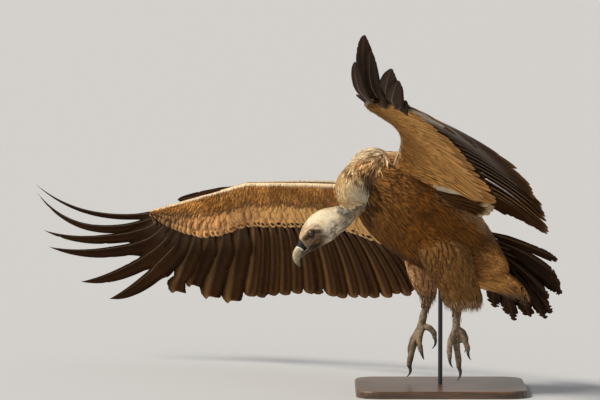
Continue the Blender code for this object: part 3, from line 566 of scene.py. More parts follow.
class Nodes:
    """A short way to write a material's nodes."""

    def __init__(self, name):
        self.material = bpy.data.materials.new(name)
        self.material.use_nodes = True
        self.tree = self.material.node_tree
        self.shader = self.tree.nodes["Principled BSDF"]

    def put(self, target, value):
        if isinstance(value, bpy.types.NodeSocket):
            self.tree.links.new(value, target)
        elif isinstance(value, (tuple, list)) and len(value) == 3 and target.type == "RGBA":
            target.default_value = (*value, 1)
        else:
            target.default_value = value

    def add(self, kind, inputs, **settings):
        node = self.tree.nodes.new("ShaderNode" + kind)
        for name, value in settings.items():
            setattr(node, name, value)
        for key, value in inputs.items():
            self.put(node.inputs[key], value)
        return node

    def math(self, operation, first, second=0.0, third=0.0, clamp=False):
        inputs = {0: first, 1: second, 2: third}
        return self.add("Math", inputs, operation=operation, use_clamp=clamp).outputs[0]

    def step(self, value, low, high):
        """A soft step from 0 at low to 1 at high."""
        inputs = {"Value": value, "From Min": low, "From Max": high}
        return self.add("MapRange", inputs, interpolation_type="SMOOTHSTEP").outputs["Result"]

    def blend(self, first, second, share, kind="MIX"):
        inputs = {"Factor": share, 6: first, 7: second}
        return self.add("Mix", inputs, data_type="RGBA", blend_type=kind).outputs[2]

    def darken(self, colour, by, share):
        """The colour, and by that share the same times another."""
        return self.blend(colour, self.blend(colour, by, 1.0, "MULTIPLY"), share)

    def attribute(self, name):
        return self.add("Attribute", {}, attribute_name=name).outputs["Color"]

    def split(self, vector):
        return self.add("SeparateXYZ", {0: vector}).outputs

    def vane(self):
        """How far a place is from its feather's middle line, and how far along it."""
        across, onward, _ = self.split(self.add("UVMap", {}, uv_map="Vane").outputs[0])
        return self.math("ABSOLUTE", self.math("MULTIPLY_ADD", across, 2.0, -1.0)), onward

    def place(self, scale=(1, 1, 1)):
        """The object's own coordinates, scaled."""
        node = self.add("Mapping", {"Scale": scale})
        self.put(node.inputs["Vector"], self.add("TexCoord", {}).outputs["Object"])
        return node.outputs[0]

    def cloud(self, vector, scale, detail=3.0, roughness=0.55):
        inputs = {"Vector": vector, "Scale": scale, "Detail": detail, "Roughness": roughness}
        return self.add("TexNoise", inputs).outputs["Fac"]

    def bump(self, height, strength, distance):
        inputs = {"Height": height, "Strength": strength, "Distance": distance}
        self.put(self.shader.inputs["Normal"], self.add("Bump", inputs).outputs[0])

    def finish(self, colour, roughness, **sockets):
        self.put(self.shader.inputs["Base Color"], colour)
        self.put(self.shader.inputs["Roughness"], roughness)
        for name, value in sockets.items():
            self.put(self.shader.inputs[name.replace("_", " ")], value)
        return self.material


def plumage(name, roughness=0.80, sheen=0.02, barbs=26.0, relief=0.20):
    """Feathers: the tint of their place, with a pale fringe, a spot and a shaft where marks say so."""
    nodes = Nodes(name)
    tint = nodes.attribute("tint")
    fringe, spot, shaft = nodes.split(nodes.attribute("marks"))
    edge, onward = nodes.vane()
    rim = nodes.math("MAXIMUM", nodes.step(edge, 0.55, 1.0), nodes.step(onward, 0.84, 0.97))
    pale = nodes.blend(tint, (1.0, 0.93, 0.80), 1.0, "MULTIPLY")
    pale = nodes.blend(pale, (0.90, 0.70, 0.44), nodes.math("MULTIPLY", fringe, 0.75))
    colour = nodes.blend(tint, pale, nodes.math("MULTIPLY", rim, fringe, clamp=True))
    round_x = nodes.math("POWER", nodes.math("DIVIDE", edge, SPOT_WIDTH), 2.0)
    past_spot = nodes.math("SUBTRACT", onward, SPOT_PLACE)
    round_y = nodes.math("POWER", nodes.math("DIVIDE", past_spot, SPOT_LENGTH), 2.0)
    blot = nodes.step(nodes.math("ADD", round_x, round_y), 1.15, 0.75)
    colour = nodes.blend(colour, (0.035, 0.020, 0.012), nodes.math("MULTIPLY", blot, spot, clamp=True))
    line = nodes.math("MULTIPLY", nodes.step(edge, 0.16, 0.03), shaft, clamp=True)
    colour = nodes.darken(colour, (0.35, 0.30, 0.26), line)
    slant = nodes.math("MULTIPLY_ADD", edge, -0.55, onward)
    wave = nodes.math("SINE", nodes.math("MULTIPLY", slant, barbs * 2 * math.pi))
    mottle = nodes.cloud(nodes.place(), 90.0, 4.0)
    along_strand = {0: nodes.math("MULTIPLY", slant, 14.0), 1: nodes.math("MULTIPLY", edge, 2.0)}
    strands = nodes.cloud(nodes.add("CombineXYZ", along_strand).outputs[0], 1.0, 3.0)
    shade = nodes.math("MULTIPLY", nodes.step(mottle, 0.25, 0.75), nodes.step(strands, 0.25, 0.70))
    dim = nodes.blend(colour, (0.66, 0.60, 0.54), 1.0, "MULTIPLY")
    colour = nodes.blend(dim, colour, nodes.math("MULTIPLY_ADD", shade, 0.75, 0.25))
    nodes.bump(nodes.math("MULTIPLY_ADD", wave, 0.5, mottle), relief, 0.0006)
    return nodes.finish(colour, roughness, Sheen_Weight=sheen, Sheen_Roughness=0.5, Specular_IOR_Level=0.06)


def vane_finish(name):
    """Flight feathers: the tint, fine slanting barbs, and worn, paler bands."""
    nodes = Nodes(name)
    tint = nodes.attribute("tint")
    edge, onward = nodes.vane()
    slant = nodes.math("MULTIPLY_ADD", edge, -0.10, onward)
    wave = nodes.math("SINE", nodes.math("MULTIPLY", slant, VANE_BARBS * 2 * math.pi))
    mottle = nodes.step(nodes.cloud(nodes.place(), 60.0, 4.0), 0.2, 0.8)
    colour = nodes.darken(tint, (0.62, 0.58, 0.55), nodes.math("MULTIPLY", mottle, 0.7))
    colour = nodes.darken(colour, (0.80, 0.78, 0.76), nodes.math("MULTIPLY_ADD", wave, 0.5, 0.5))
    nodes.bump(wave, 0.25, 0.0003)
    return nodes.finish(colour, 0.6, Specular_IOR_Level=0.05)


def skin_finish():
    """Skin: the same tint as the coat over it, with fine creases and pores."""
    nodes = Nodes("skin")
    place = nodes.place()
    mottle = nodes.cloud(place, 220.0, 4.0)
    crease = nodes.add("TexVoronoi", {"Vector": place, "Scale": 420.0}).outputs["Distance"]
    colour = nodes.darken(nodes.attribute("tint"), (0.60, 0.56, 0.52), nodes.step(mottle, 0.35, 0.75))
    nodes.bump(nodes.math("MULTIPLY_ADD", crease, -0.8, mottle), 0.45, 0.0008)
    return nodes.finish(colour, 0.70, Specular_IOR_Level=0.10)


def horn_finish(name, roughness, scale):
    """Horn with faint growth lines; its colour is the tint."""
    nodes = Nodes(name)
    streak = nodes.cloud(nodes.place((1, 1, 3)), scale, 5.0)
    colour = nodes.darken(nodes.attribute("tint"), (0.62, 0.60, 0.55), nodes.step(streak, 0.35, 0.7))
    nodes.bump(streak, 0.15, 0.0004)
    return nodes.finish(colour, roughness, Coat_Weight=0.05, Coat_Roughness=0.2, Specular_IOR_Level=0.25)


def eye_finish():
    nodes = Nodes("eye_gloss")
    nodes.bump(nodes.cloud(nodes.place(), 900.0), 0.05, 0.0001)
    tint = nodes.attribute("tint")
    return nodes.finish(tint, 0.10, Coat_Weight=0.4, Coat_Roughness=0.03, Specular_IOR_Level=0.35)


def wood_finish():
    """Dark stained wood with long grain along X."""
    nodes = Nodes("stand_wood")
    grain = nodes.cloud(nodes.place((1.2, 14, 14)), 5.0, 6.0, 0.6)
    fine = nodes.cloud(nodes.place((4, 160, 160)), 3.0, 3.0)
    light, deep = (0.115, 0.062, 0.032), (0.032, 0.017, 0.010)
    colour = nodes.blend(deep, light, nodes.step(grain, 0.35, 0.68))
    pores = nodes.math("MULTIPLY", nodes.step(fine, 0.55, 0.7), 0.6)
    colour = nodes.blend(colour, (0.018, 0.010, 0.006), pores)
    nodes.bump(nodes.math("MULTIPLY_ADD", fine, -0.5, grain), 0.15, 0.0006)
    return nodes.finish(colour, 0.38, Coat_Weight=0.25, Coat_Roughness=0.25)


def steel_finish():
    """Satin black enamel on the rod."""
    nodes = Nodes("stand_steel")
    speck = nodes.cloud(nodes.place(), 700.0, 2.0)
    colour = nodes.blend((0.022, 0.022, 0.024), (0.042, 0.042, 0.045), speck)
    nodes.bump(speck, 0.08, 0.0002)
    return nodes.finish(colour, 0.36, Metallic=0.4)


def floor_finish():
    nodes = Nodes("floor")
    grain = nodes.cloud(nodes.place(), 30.0, 2.0)
    return nodes.finish(nodes.blend((0.355, 0.375, 0.42), (0.365, 0.385, 0.43), grain), 0.9)


# ---- markings: one set of rules for the skin and for the coat --------------------------------------

def head_place(points):
    """Points in the head's own frame: forward of the eyes, to its left, and up."""
    return (np.asarray(points) - HEAD_ORIGIN) @ np.stack(HEAD_AXES, axis=1)


def trunk_place(points):
    """Points in the trunk's own frame: forward of its middle, to its left, and up its back."""
    return (np.asarray(points) - MIDDLE) @ np.stack(TRUNK_AXES, axis=1)


def turned(first, second, middle, radii, turn=0.0):
    """Places about an oval's middle, along its own turned axes, in its radii."""
    x, z = first - middle[0], second - middle[1]
    cos, sin = math.cos(math.radians(turn)), math.sin(math.radians(turn))
    return (x * cos + z * sin) / radii[0], (z * cos - x * sin) / radii[1]


def oval(*patch):
    """1 at the middle of an oval patch, 0 outside it; takes what turned takes."""
    return 1 - smooth(np.hypot(*turned(*patch)), 0.45, 1.25)


def mottled(points, scale, seed, first, second, low=0.3, high=0.75):
    """Two colours in soft blotches of that size."""
    return mix(first, second, smooth(noise(points, scale, seed), low, high))


# dark patches of the face in the head's own axes: middle, radii, turn in degrees, strength
FACE_SHADES = (
    ((0.0000, -0.0010), (0.0150, 0.0125), -12, 0.92),
    ((0.0150, 0.0000), (0.0200, 0.0085), 5, 0.90),
    ((-0.0150, -0.0060), (0.0200, 0.0075), 40, 0.85),
    ((0.0220, -0.0330), (0.0330, 0.0090), 12, 0.85),
    ((-0.0240, -0.0300), (0.0060, 0.0130), -35, 0.50),
)
GAPE = (0.024, -0.0202)
GAPE_TURN = -13
GAPE_LINES = 3600.0


def head_colour(points):
    """White down, freckled brown on the face, near black round the eye and on the lores."""
    ahead, _, up = head_place(points).T
    speck = noise(points, 0.0034, 3)
    colour = mottled(points, 0.018, 4, (1.0, 0.91, 0.72), (0.92, 0.76, 0.52), 0.5, 0.9)
    colour = mix(colour, (0.54, 0.375, 0.225), smooth(ahead, -0.024, 0.016) * 0.90)
    rear = smooth(-ahead, 0.015, 0.050) * smooth(-up, -0.004, 0.034)
    rear = rear * (1 - smooth(-ahead, 0.088, 0.100) * 0.5)
    colour = mix(colour, (0.105, 0.058, 0.028), rear * smooth(speck, 0.40, 0.60) * 0.85)
    temple = oval(ahead, up, (-0.017, 0.001), (0.024, 0.015), 38)
    colour = mix(colour, (0.33, 0.21, 0.125), temple * (0.45 + 0.5 * smooth(speck, 0.35, 0.6)))
    cheek = oval(ahead, up, (0.003, -0.0240), (0.038, 0.0250), 8)
    brown = mix((0.150, 0.086, 0.044), (0.085, 0.045, 0.022), smooth(speck, 0.35, 0.65))
    colour = mix(colour, brown, cheek * 0.97)
    lores = oval(ahead, up, (0.020, -0.0120), (0.018, 0.013), 20)
    colour = mix(colour, (0.125, 0.075, 0.038), lores * 0.80)
    for middle, radii, turn, share in FACE_SHADES:
        patch = oval(ahead, up, middle, radii, turn)
        colour = mix(colour, (0.020, 0.013, 0.008), patch * share)
    lines = np.sin((up + 0.24 * ahead) * GAPE_LINES) * 0.5 + 0.5
    gape = oval(ahead, up, GAPE, (0.024, 0.0042), GAPE_TURN)
    creased = mix((0.050, 0.036, 0.030), (0.36, 0.30, 0.26), smooth(lines, 0.55, 0.85))
    colour = mix(colour, creased, gape)
    streak = noise(points * np.array((1.0, 1.0, 2.5)), 0.006, 25)
    nape = oval(ahead, up, (-0.122, -0.008), (0.016, 0.030), 0)
    colour = mix(colour, (0.085, 0.082, 0.084), nape * smooth(streak, 0.34, 0.60) * 0.75)
    return mix(colour, (0.20, 0.155, 0.115), smooth(ahead, 0.028, 0.036) * 0.6)


def neck_colour(points):
    """Grey skin that shows through thin down, and browner down on the throat."""
    _, _, up = head_place(points).T
    speck = noise(points, 0.005, 5)
    bare = mix((0.085, 0.078, 0.072), (0.34, 0.30, 0.25), smooth(speck, 0.35, 0.75))
    downy = mix((0.66, 0.50, 0.32), (0.24, 0.16, 0.095), smooth(speck, 0.45, 0.7))
    throat = smooth(-up, 0.020, 0.044)
    return mix(bare, downy, throat)


def ruff_colour(points):
    """Warm cream down with a painted highlight, a brown wedge and painted shade in the hollow behind it."""
    across, _, height = np.asarray(points).T
    colour = mottled(points, 0.035, 7, (0.94, 0.675, 0.375), (0.84, 0.525, 0.240), 0.40, 0.8)
    # painted highlight: a brighter patch where the sun would light the front of the down
    lit = oval(across, height, (-0.222, 0.560), (0.034, 0.040), -35)
    colour = mix(colour, (1.0, 0.84, 0.60), lit)
    colour = mix(colour, (0.90, 0.72, 0.50), smooth(height, 0.630, 0.655))
    # the crest is a brown wedge between two slanting lines
    crest = smooth(height + 0.82 * (across + 0.262), 0.604, 0.622) * smooth(across, -0.278, -0.255)
    crest = crest * (1 - smooth(height - 0.40 * (across + 0.254), 0.610, 0.630))
    speck = noise(points, 0.008, 6)
    colour = mix(colour, (0.170, 0.080, 0.028), crest * smooth(speck, 0.30, 0.56) * 0.88)
    # painted shade: the down darkens in the hollow behind the ruff
    return colour * (1 - 0.8 * collar_shade(points))[:, None]


# painted shade lies in the hollow between the ruff's lower edge and the body: x at each height
COLLAR = ((0.478, -0.210), (0.512, -0.206), (0.547, -0.190), (0.613, -0.200), (0.630, -0.215))
COLLAR_WIDTH = 0.0075


def collar_shade(points):
    """1 in the painted shade of the hollow behind the ruff, 0 away from it."""
    x, y, z = np.asarray(points).T
    height, place = np.array(COLLAR).T
    inside = smooth(z, 0.470, 0.490) * (1 - smooth(z, 0.605, 0.625)) * smooth(-y, -0.02, 0.03)
    return np.exp(-(((x - np.interp(z, height, place)) / COLLAR_WIDTH) ** 2)) * inside


def trunk_colour(points):
    """Tawny below, a little paler on the breast, brown on the back and cream on the mantle."""
    ahead, _, up = trunk_place(points).T
    x, _, z = np.asarray(points).T
    belly = mottled(points, 0.05, 8, TAN, (0.175, 0.070, 0.014))
    breast = mix(belly, (0.270, 0.125, 0.034), smooth(ahead, 0.10, 0.24))
    back = mottled(points, 0.05, 8, (0.36, 0.210, 0.100), (0.22, 0.120, 0.052), 0.35, 0.75)
    mantle = mix(back, (1.0, 0.76, 0.47), smooth(ahead, 0.12, 0.22) * 0.9)
    rump = mix(mantle, (0.34, 0.20, 0.10), smooth(-ahead, 0.10, 0.20))
    vent = smooth(x, 0.060, 0.115) * (1 - smooth(z, 0.380, 0.435))
    breast = mix(breast, undertail_colour(points), vent)
    blotch = noise(points, 0.022, 26)
    breast = mix(breast, breast * 0.80, smooth(blotch, 0.50, 0.80))
    front = smooth(ahead, 0.10, 0.16)
    top = smooth(up - 0.038 * front, 0.020 + 0.012 * front, 0.060)
    # painted shade darkens the body's feathers in the hollow behind the ruff
    return mix(breast, rump, top) * (1 - 0.85 * collar_shade(points))[:, None]


def thigh_colour(points):
    """Tawny, browner at the hem; the far thigh is painted pale for the sun that shines through it."""
    _, y, height = np.asarray(points).T
    colour = mottled(points, 0.035, 9, (0.265, 0.128, 0.036), (0.185, 0.085, 0.022))
    colour = mix((0.275, 0.168, 0.084), colour, smooth(height, 0.242, 0.300))
    colour = mix(colour, (0.190, 0.092, 0.028), smooth(height, 0.370, 0.425))
    # painted light: the far thigh is lightened as if the sun shone through it
    far = smooth(y, -0.030, 0.010)
    pale = mottled(points, 0.035, 9, (0.80, 0.450, 0.220), (0.55, 0.290, 0.130))
    pale = mix((0.20, 0.125, 0.068), pale, smooth(height, 0.268, 0.322))
    return mix(foot_colour(points), mix(colour, pale, far), smooth(height, 0.224, 0.242))


def undertail_colour(points):
    """Pale tawny, brown at the low end."""
    colour = mottled(points, 0.03, 10, (0.92, 0.460, 0.140), (0.58, 0.270, 0.072))
    return mix((0.21, 0.130, 0.068), colour, smooth(np.asarray(points)[:, 2], 0.272, 0.305))


def foot_colour(points):
    """Grey brown scales, darker on the toes."""
    low = 1 - smooth(np.asarray(points)[:, 2], 0.060, 0.130)
    pale = mottled(points, 0.006, 12, (0.210, 0.165, 0.120), (0.130, 0.096, 0.066), 0.35, 0.7)
    return mix(pale, (0.085, 0.060, 0.040), low * 0.6)


PALE_FROM = 0.34                    # the share of the chord where the far wing's pale coverts begin


def wing_colour(side, place, chord, face, points):
    """Coverts: place runs 0 to 2 from shoulder to the hand's end, chord 0 to 1, face 1 is above."""
    broad = noise(points, 0.03, 13)
    streak = noise(points, 0.009, 14)
    under = mottled(points, 0.03, 13, (0.620, 0.290, 0.078), (0.390, 0.168, 0.038))
    under = mix(under, (0.125, 0.068, 0.032), smooth(streak, 0.58, 0.80) * 0.6)
    if side == "right":
        greater = smooth(chord, PALE_FROM, PALE_FROM + 0.11)
        # painted shadow: a dark line where the pale greater coverts begin on the far wing
        under = mix(under, (0.145, 0.080, 0.036), np.exp(-((chord - PALE_FROM) / 0.040) ** 2) * 0.55)
        under = mix(under, (1.0, 0.550, 0.200), greater)
        under = mix(under, under * (0.66, 0.62, 0.66), smooth(place, 0.80, 1.05) * greater)
    else:
        under = mix(under, (0.98, 0.530, 0.165), np.exp(-((chord - 0.42) / 0.30) ** 2) * 0.70)
    lip = mix((0.80, 0.68, 0.50), (0.64, 0.51, 0.35), broad)
    lip = mix(under, lip, smooth(place, 0.03, 0.12))
    under = mix(lip, under, smooth(chord, 0.003, 0.012))
    far = smooth(place, 1.25, 1.75)
    under = mix(under, (0.085, 0.050, 0.028), far * smooth(chord, 0.10, 0.35) * 0.75)
    upper = mottled(points, 0.03, 13, (0.46, 0.32, 0.19), (0.30, 0.19, 0.105))
    upper = mix(upper, (0.115, 0.070, 0.042), smooth(chord, 0.60, 0.80) * 0.8)
    upper = mix(lip, upper, smooth(chord, 0.010, 0.09))
    upper = mix(upper, (0.080, 0.052, 0.034), far * 0.75)
    return upper if face > 0 else under


# ---- the wing's surface ---------------------------------------------------------------------------

WING_SAMPLES = 161
WING_SMOOTHING = 40                 # rounds that even out its axes


def primary_share(number):
    """Where a primary leaves the coverts, from 0 at the wrist."""
    return 1 - (1 - (np.asarray(number) - 0.5) / PRIMARIES) ** PRIMARY_CROWDING


def rib_line(side, part, places):
    """Points on the arm's leading edge (part 0), covert edge (1) or line of feather tips (2)."""
    return along([rib[part] for rib in ARM_RIBS[side]], places)


class Wing:
    """The wing's leading and covert edges, thickness and axes along its length.

    Places run from 0 at the shoulder through 1 at the wrist to 2 at the end of the hand.
    """

    def __init__(self, side):
        places = np.linspace(0, 2, WING_SAMPLES)
        arm, hand = np.clip(places, 0, 1), np.clip(places - 1, 0, 1)
        on_hand = (places > 1)[:, None]
        self.leading = np.where(on_hand, along(HAND_LEADING[side], hand), rib_line(side, 0, arm))
        self.covert = np.where(on_hand, along(HAND_COVERT[side], hand), rib_line(side, 1, arm))
        number = 0.5 + PRIMARIES * (1 - (1 - hand) ** (1 / PRIMARY_CROWDING))
        ends = [*PRIMARY_TIPS[side][: FIRST_FINGER - 1], *NOTCHES[side][:-1]]
        lag = SECONDARY_LAG[side]
        arm_tips = rib_line(side, 2, np.maximum((arm - lag) / (1 - lag), 0))
        tips = np.where(on_hand, along(ends, (number - 1) / (PRIMARIES - 1)), arm_tips)
        arm_thick, hand_thick = value_along(ARM_THICKNESS, arm), value_along(HAND_THICKNESS, hand)
        self.thickness = np.where(places > 1, hand_thick, arm_thick)[:, None]
        sign = 1 if side == "left" else -1
        outward = np.gradient(self.leading, axis=0)
        self.normal = sign * unit(np.cross(outward, self.covert - self.leading))
        self.feather = unit(tips - self.covert)
        self.reach = np.linalg.norm(tips - self.covert, axis=1, keepdims=True)
        for _ in range(WING_SMOOTHING):
            for values in (self.normal, self.feather):
                values[1:-1] = unit(values[:-2] + 2 * values[1:-1] + values[2:])

    def at(self, name, places):
        """One of the wing's tables, read between its samples."""
        table = getattr(self, name)
        spot = np.clip(np.asarray(places, float) / 2, 0, 1) * (WING_SAMPLES - 1)
        index = np.minimum(spot.astype(int), WING_SAMPLES - 2)
        part = (spot - index)[..., None]
        return table[index] * (1 - part) + table[index + 1] * part

    def surface(self, places, roots, face, inset=0.0):
        """A point on the upper (face 1) or lower (face -1) side; roots are square roots of the chord.

        Past the covert edge it runs on along the flight feathers.
        """
        places, roots = np.broadcast_arrays(places, roots)
        leading, covert = self.at("leading", places), self.at("covert", places)
        normal, thickness = self.at("normal", places), self.at("thickness", places)
        thickness = np.maximum(thickness - 2 * inset, thickness * 0.45)
        leading = leading + unit(covert - leading) * inset * 0.7
        chord = np.clip(roots, 0, None)[..., None] ** 2
        inside = np.minimum(chord, 1)
        width = np.linalg.norm(covert - leading, axis=-1, keepdims=True)
        arch = 4 * inside * (1 - inside) * AEROFOIL_ARCH * width
        swell = thickness * (AEROFOIL_SWELL * np.sqrt(inside) * (1 - inside) + AEROFOIL_EDGE) / 2
        past = (chord - inside) * width
        onward = self.at("feather", places) * past
        run = np.minimum(past / self.at("reach", places), 1)
        arch = arch + 4 * run * (1 - run) * SECONDARY_ARCH * self.at("reach", places)
        return leading + (covert - leading) * inside + normal * (arch + face * swell) + onward

    def out_of(self, places, roots, face, step=0.01):
        """The surface's outward normal."""
        def slope(place_step, root_step):
            ahead = self.surface(places + place_step, roots + root_step, face)
            behind = self.surface(places - place_step, roots - root_step, face)
            return (ahead - behind) / step / 2

        normal = unit(np.cross(slope(step, 0), slope(0, step)))
        return normal * np.sign(dot(normal, face * self.at("normal", places)))


WINGS = {side: Wing(side) for side in SIDES}


# ---- smooth solids of flesh -----------------------------------------------------------------------

# how far ahead of the trunk's middle, half width, depth above and depth below
TRUNK_SECTIONS = (
    (0.285, 0.018, 0.030, 0.012),
    (0.270, 0.052, 0.066, 0.038),
    (0.235, 0.086, 0.098, 0.078),
    (0.185, 0.110, 0.116, 0.112),
    (0.120, 0.126, 0.122, 0.130),
    (0.030, 0.130, 0.114, 0.134),
    (-0.060, 0.120, 0.098, 0.122),
    (-0.130, 0.100, 0.074, 0.096),
    (-0.185, 0.076, 0.048, 0.068),
    (-0.225, 0.050, 0.027, 0.044),
    (-0.245, 0.022, 0.010, 0.020),
)
# points along the part, and its radius there
RUFF_LINE = (
    ((-0.150, -0.048, 0.624), 0.045),
    ((-0.190, -0.062, 0.617), 0.055),
    ((-0.218, -0.086, 0.592), 0.051),
    ((-0.240, -0.098, 0.567), 0.051),
    ((-0.242, -0.101, 0.542), 0.046),
    ((-0.240, -0.101, 0.524), 0.039),
    ((-0.237, -0.101, 0.512), 0.027),
)
NECK_LINE = (
    ((-0.226, -0.095, 0.545), 0.028),
    ((-0.231, -0.099, 0.520), 0.026),
    ((-0.240, -0.100, 0.503), 0.027),
)
UNDERTAIL_DROP = 0.016
# points along the part, its half width and half thickness there
UNDERTAIL_LINE = (
    ((0.085, 0.015, 0.352), 0.070, 0.045),
    ((0.130, 0.035, 0.325), 0.062, 0.040),
    ((0.182, 0.046, 0.300), 0.054, 0.027),
    ((0.225, 0.060, 0.270), 0.037, 0.015),
    ((0.252, 0.076, 0.245), 0.010, 0.004),
)
THIGHS = {
    "left": (
        ((-0.016, -0.070, 0.440), 0.070, 0.050),
        ((0.000, -0.092, 0.395), 0.076, 0.056),
        ((0.020, -0.100, 0.345), 0.072, 0.054),
        ((0.044, -0.098, 0.295), 0.062, 0.044),
        ((0.056, -0.094, 0.258), 0.060, 0.036),
        ((0.058, -0.092, 0.240), 0.050, 0.028),
    ),
    "right": (
        ((-0.050, 0.045, 0.410), 0.052, 0.048),
        ((-0.052, 0.062, 0.360), 0.050, 0.046),
        ((-0.047, 0.070, 0.315), 0.044, 0.040),
        ((-0.038, 0.072, 0.275), 0.036, 0.032),
        ((-0.031, 0.071, 0.250), 0.025, 0.021),
        ((-0.031, 0.071, 0.237), 0.012, 0.011),
    ),
}
NECK_HINT = (0, -1, 0)
SHANK_HINT = (0, 1, 0.2)
TOE_HINT = (0.9, 0.3, 0.1)
SOLID_SIDES = 64
SOLID_ROWS = 70
LEAST_RADIUS = 0.002


def rings_at(centres, across, upward, half_width, above, below, sides=SOLID_SIDES):
    """Egg-shaped rings, one for each centre."""
    angles = np.linspace(0, 2 * math.pi, sides, endpoint=False)
    wide = half_width[:, None] * np.cos(angles)
    high = np.where(np.sin(angles) >= 0, above[:, None], below[:, None]) * np.sin(angles)
    across = np.broadcast_to(across, centres.shape)
    upward = np.broadcast_to(upward, centres.shape)
    return centres[:, None] + across[:, None] * wide[..., None] + upward[:, None] * high[..., None]


def shut(rings):
    """Points and triangles of the closed solid through the rings, the right way out."""
    rows, sides = rings.shape[:2]
    low = (np.arange(rows - 1)[:, None] * sides + np.arange(sides)).ravel()
    high = (np.arange(rows - 1)[:, None] * sides + (np.arange(sides) + 1) % sides).ravel()
    points = np.concatenate([rings.reshape(-1, 3), rings[:1].mean(1), rings[-1:].mean(1)])
    first, last = rows * sides, rows * sides + 1
    edge = np.arange(sides)
    following = (edge + 1) % sides
    end = (rows - 1) * sides
    triangles = np.concatenate([
        np.stack([low, high, high + sides], 1),
        np.stack([low, high + sides, low + sides], 1),
        np.stack([following, edge, np.full(sides, first)], 1),
        np.stack([end + edge, end + following, np.full(sides, last)], 1),
    ])
    if np.linalg.det(points[triangles] - points.mean(0)).sum() < 0:
        triangles = triangles[:, ::-1]
    return points, triangles


def tube_rings(line, inset, hint, rows=SOLID_ROWS, relief=None):
    """Rings of a round tube along a line of (point, radius); relief scales each ring's radius."""
    places = np.linspace(0, 1, rows)
    centres = along([point for point, _ in line], places)
    radii = np.maximum(value_along([radius for _, radius in line], places) - inset, LEAST_RADIUS)
    if relief is not None:
        radii = radii * relief(places)
    ahead = unit(np.gradient(centres, axis=0))
    across = unit(np.cross(ahead, hint))
    return rings_at(centres, across, np.cross(across, ahead), radii, radii, radii)


def trunk_rings(inset):
    """The trunk's egg-shaped rings, across its own forward axis."""
    forward, left, up = TRUNK_AXES
    ahead, half_width, above, below = along(TRUNK_SECTIONS, np.linspace(0, 1, SOLID_ROWS)).T
    centres = np.array(MIDDLE) + forward * (ahead * (1 - inset / 0.26))[:, None]
    half_width, above, below = (np.maximum(size - inset, LEAST_RADIUS) for size in (half_width, above, below))
    return rings_at(centres, left, up, half_width, above, below)


def section_rings(sections, inset, rows=SOLID_ROWS, sides=96):
    """Rings of the head or cere, across its own forward axis."""
    forward, left, up = HEAD_AXES
    ahead, top, bottom, half_width = along(sections, np.linspace(0, 1, rows)).T
    centres = np.array(HEAD_ORIGIN) + forward * ahead[:, None] + up * ((top + bottom) / 2)[:, None]
    half = np.maximum((top - bottom) / 2 - inset, LEAST_RADIUS)
    return rings_at(centres, left, up, np.maximum(half_width - inset, LEAST_RADIUS), half, half, sides)


def mound(first, second, middle, radii, turn, height):
    """A rounded swelling (or hollow, if height is negative) on the side of the head."""
    x, z = turned(first, second, middle, radii, turn)
    return height * np.exp(-(x**2 + z**2))


def eye_distance(ahead, up):
    """Distance from the middle of the almond-shaped eye opening, in its own half lengths."""
    return np.hypot(*turned(ahead, up, (0, 0), EYE_OPENING, EYE_SLANT))


# the brow, lores, cheek, gape, its two lips and the jaw's edge: middle, radii, turn and height
HEAD_MOUNDS = (
    ((0.004, 0.0125), (0.019, 0.0046), 10, 0.0028),
    ((0.020, -0.006), (0.008, 0.007), -25, -0.0020),
    ((-0.020, -0.024), (0.020, 0.012), 10, 0.0018),
    (GAPE, (0.022, 0.0012), GAPE_TURN, -0.0020),
    ((GAPE[0], GAPE[1] + 0.0030), (0.020, 0.0014), GAPE_TURN, 0.0013),
    ((GAPE[0], GAPE[1] - 0.0030), (0.020, 0.0014), GAPE_TURN, 0.0013),
    ((0.020, -0.0360), (0.022, 0.0030), 12, 0.0012),
)


def head_relief(ahead, up):
    """How far the side of the head stands out, in metres."""
    off = eye_distance(ahead, up)
    height = 0.0011 * np.exp(-(((off - 1.18) / 0.20) ** 2))
    height -= 0.0013 * np.exp(-(((off - 1.62) / 0.24) ** 2))
    height -= 0.0045 * (1 - smooth(off, 0.70, 1.02))
    for swelling in HEAD_MOUNDS:
        height += mound(ahead, up, *swelling)
    folds = np.sin((up * 0.8 - ahead * 0.45) * 1250) * 0.00045
    return height + folds * mound(ahead, up, (-0.004, -0.026), (0.030, 0.014), 10, 1.0)


def head_solid(inset):
    """The head with its brow, eye sockets, lores, cheeks and gape."""
    rings = section_rings(HEAD_SECTIONS, inset, 150, 160)
    _, left, _ = HEAD_AXES
    ahead, leftward, upward = head_place(rings).transpose(2, 0, 1)
    flank = np.abs(leftward) / np.abs(leftward).max(1, keepdims=True)
    push = head_relief(ahead, upward) * smooth(flank, 0.25, 0.75)
    return rings + left * (push * np.sign(leftward))[..., None]


def undertail_rings(inset):
    """Flattened rings below the root of the tail."""
    normal, across = tail_axes()
    centres = along([item[0] for item in UNDERTAIL_LINE], np.linspace(0, 1, SOLID_ROWS))
    wide, thick = along([item[1:] for item in UNDERTAIL_LINE], np.linspace(0, 1, SOLID_ROWS)).T
    wide, thick = (np.maximum(size - np.minimum(inset, size * 0.5), 0.001) for size in (wide, thick))
    return rings_at(centres - normal * UNDERTAIL_DROP, across, normal, wide, thick, thick)


def thigh_rings(side, inset):
    """Level rings down the thigh."""
    centres = along([item[0] for item in THIGHS[side]], np.linspace(0, 1, SOLID_ROWS))
    wide, thick = along([item[1:] for item in THIGHS[side]], np.linspace(0, 1, SOLID_ROWS)).T
    wide, thick = (size - np.minimum(inset, size * 0.4) for size in (wide, thick))
    return rings_at(centres, (1, 0, 0), (0, 1, 0), wide, thick, thick)


def wing_rings(side, inset, first, last, rows):
    """An arm or hand, from the leading edge back to just short of the covert edge."""
    roots = np.sqrt(np.linspace(0, 1, 22) ** 1.6 * 0.93)
    places = np.linspace(first, last, rows)[:, None]
    upper = WINGS[side].surface(places, roots[None], 1, inset)
    lower = WINGS[side].surface(places, roots[None, ::-1][:, :-1], -1, inset)
    return np.concatenate([upper, lower], axis=1)


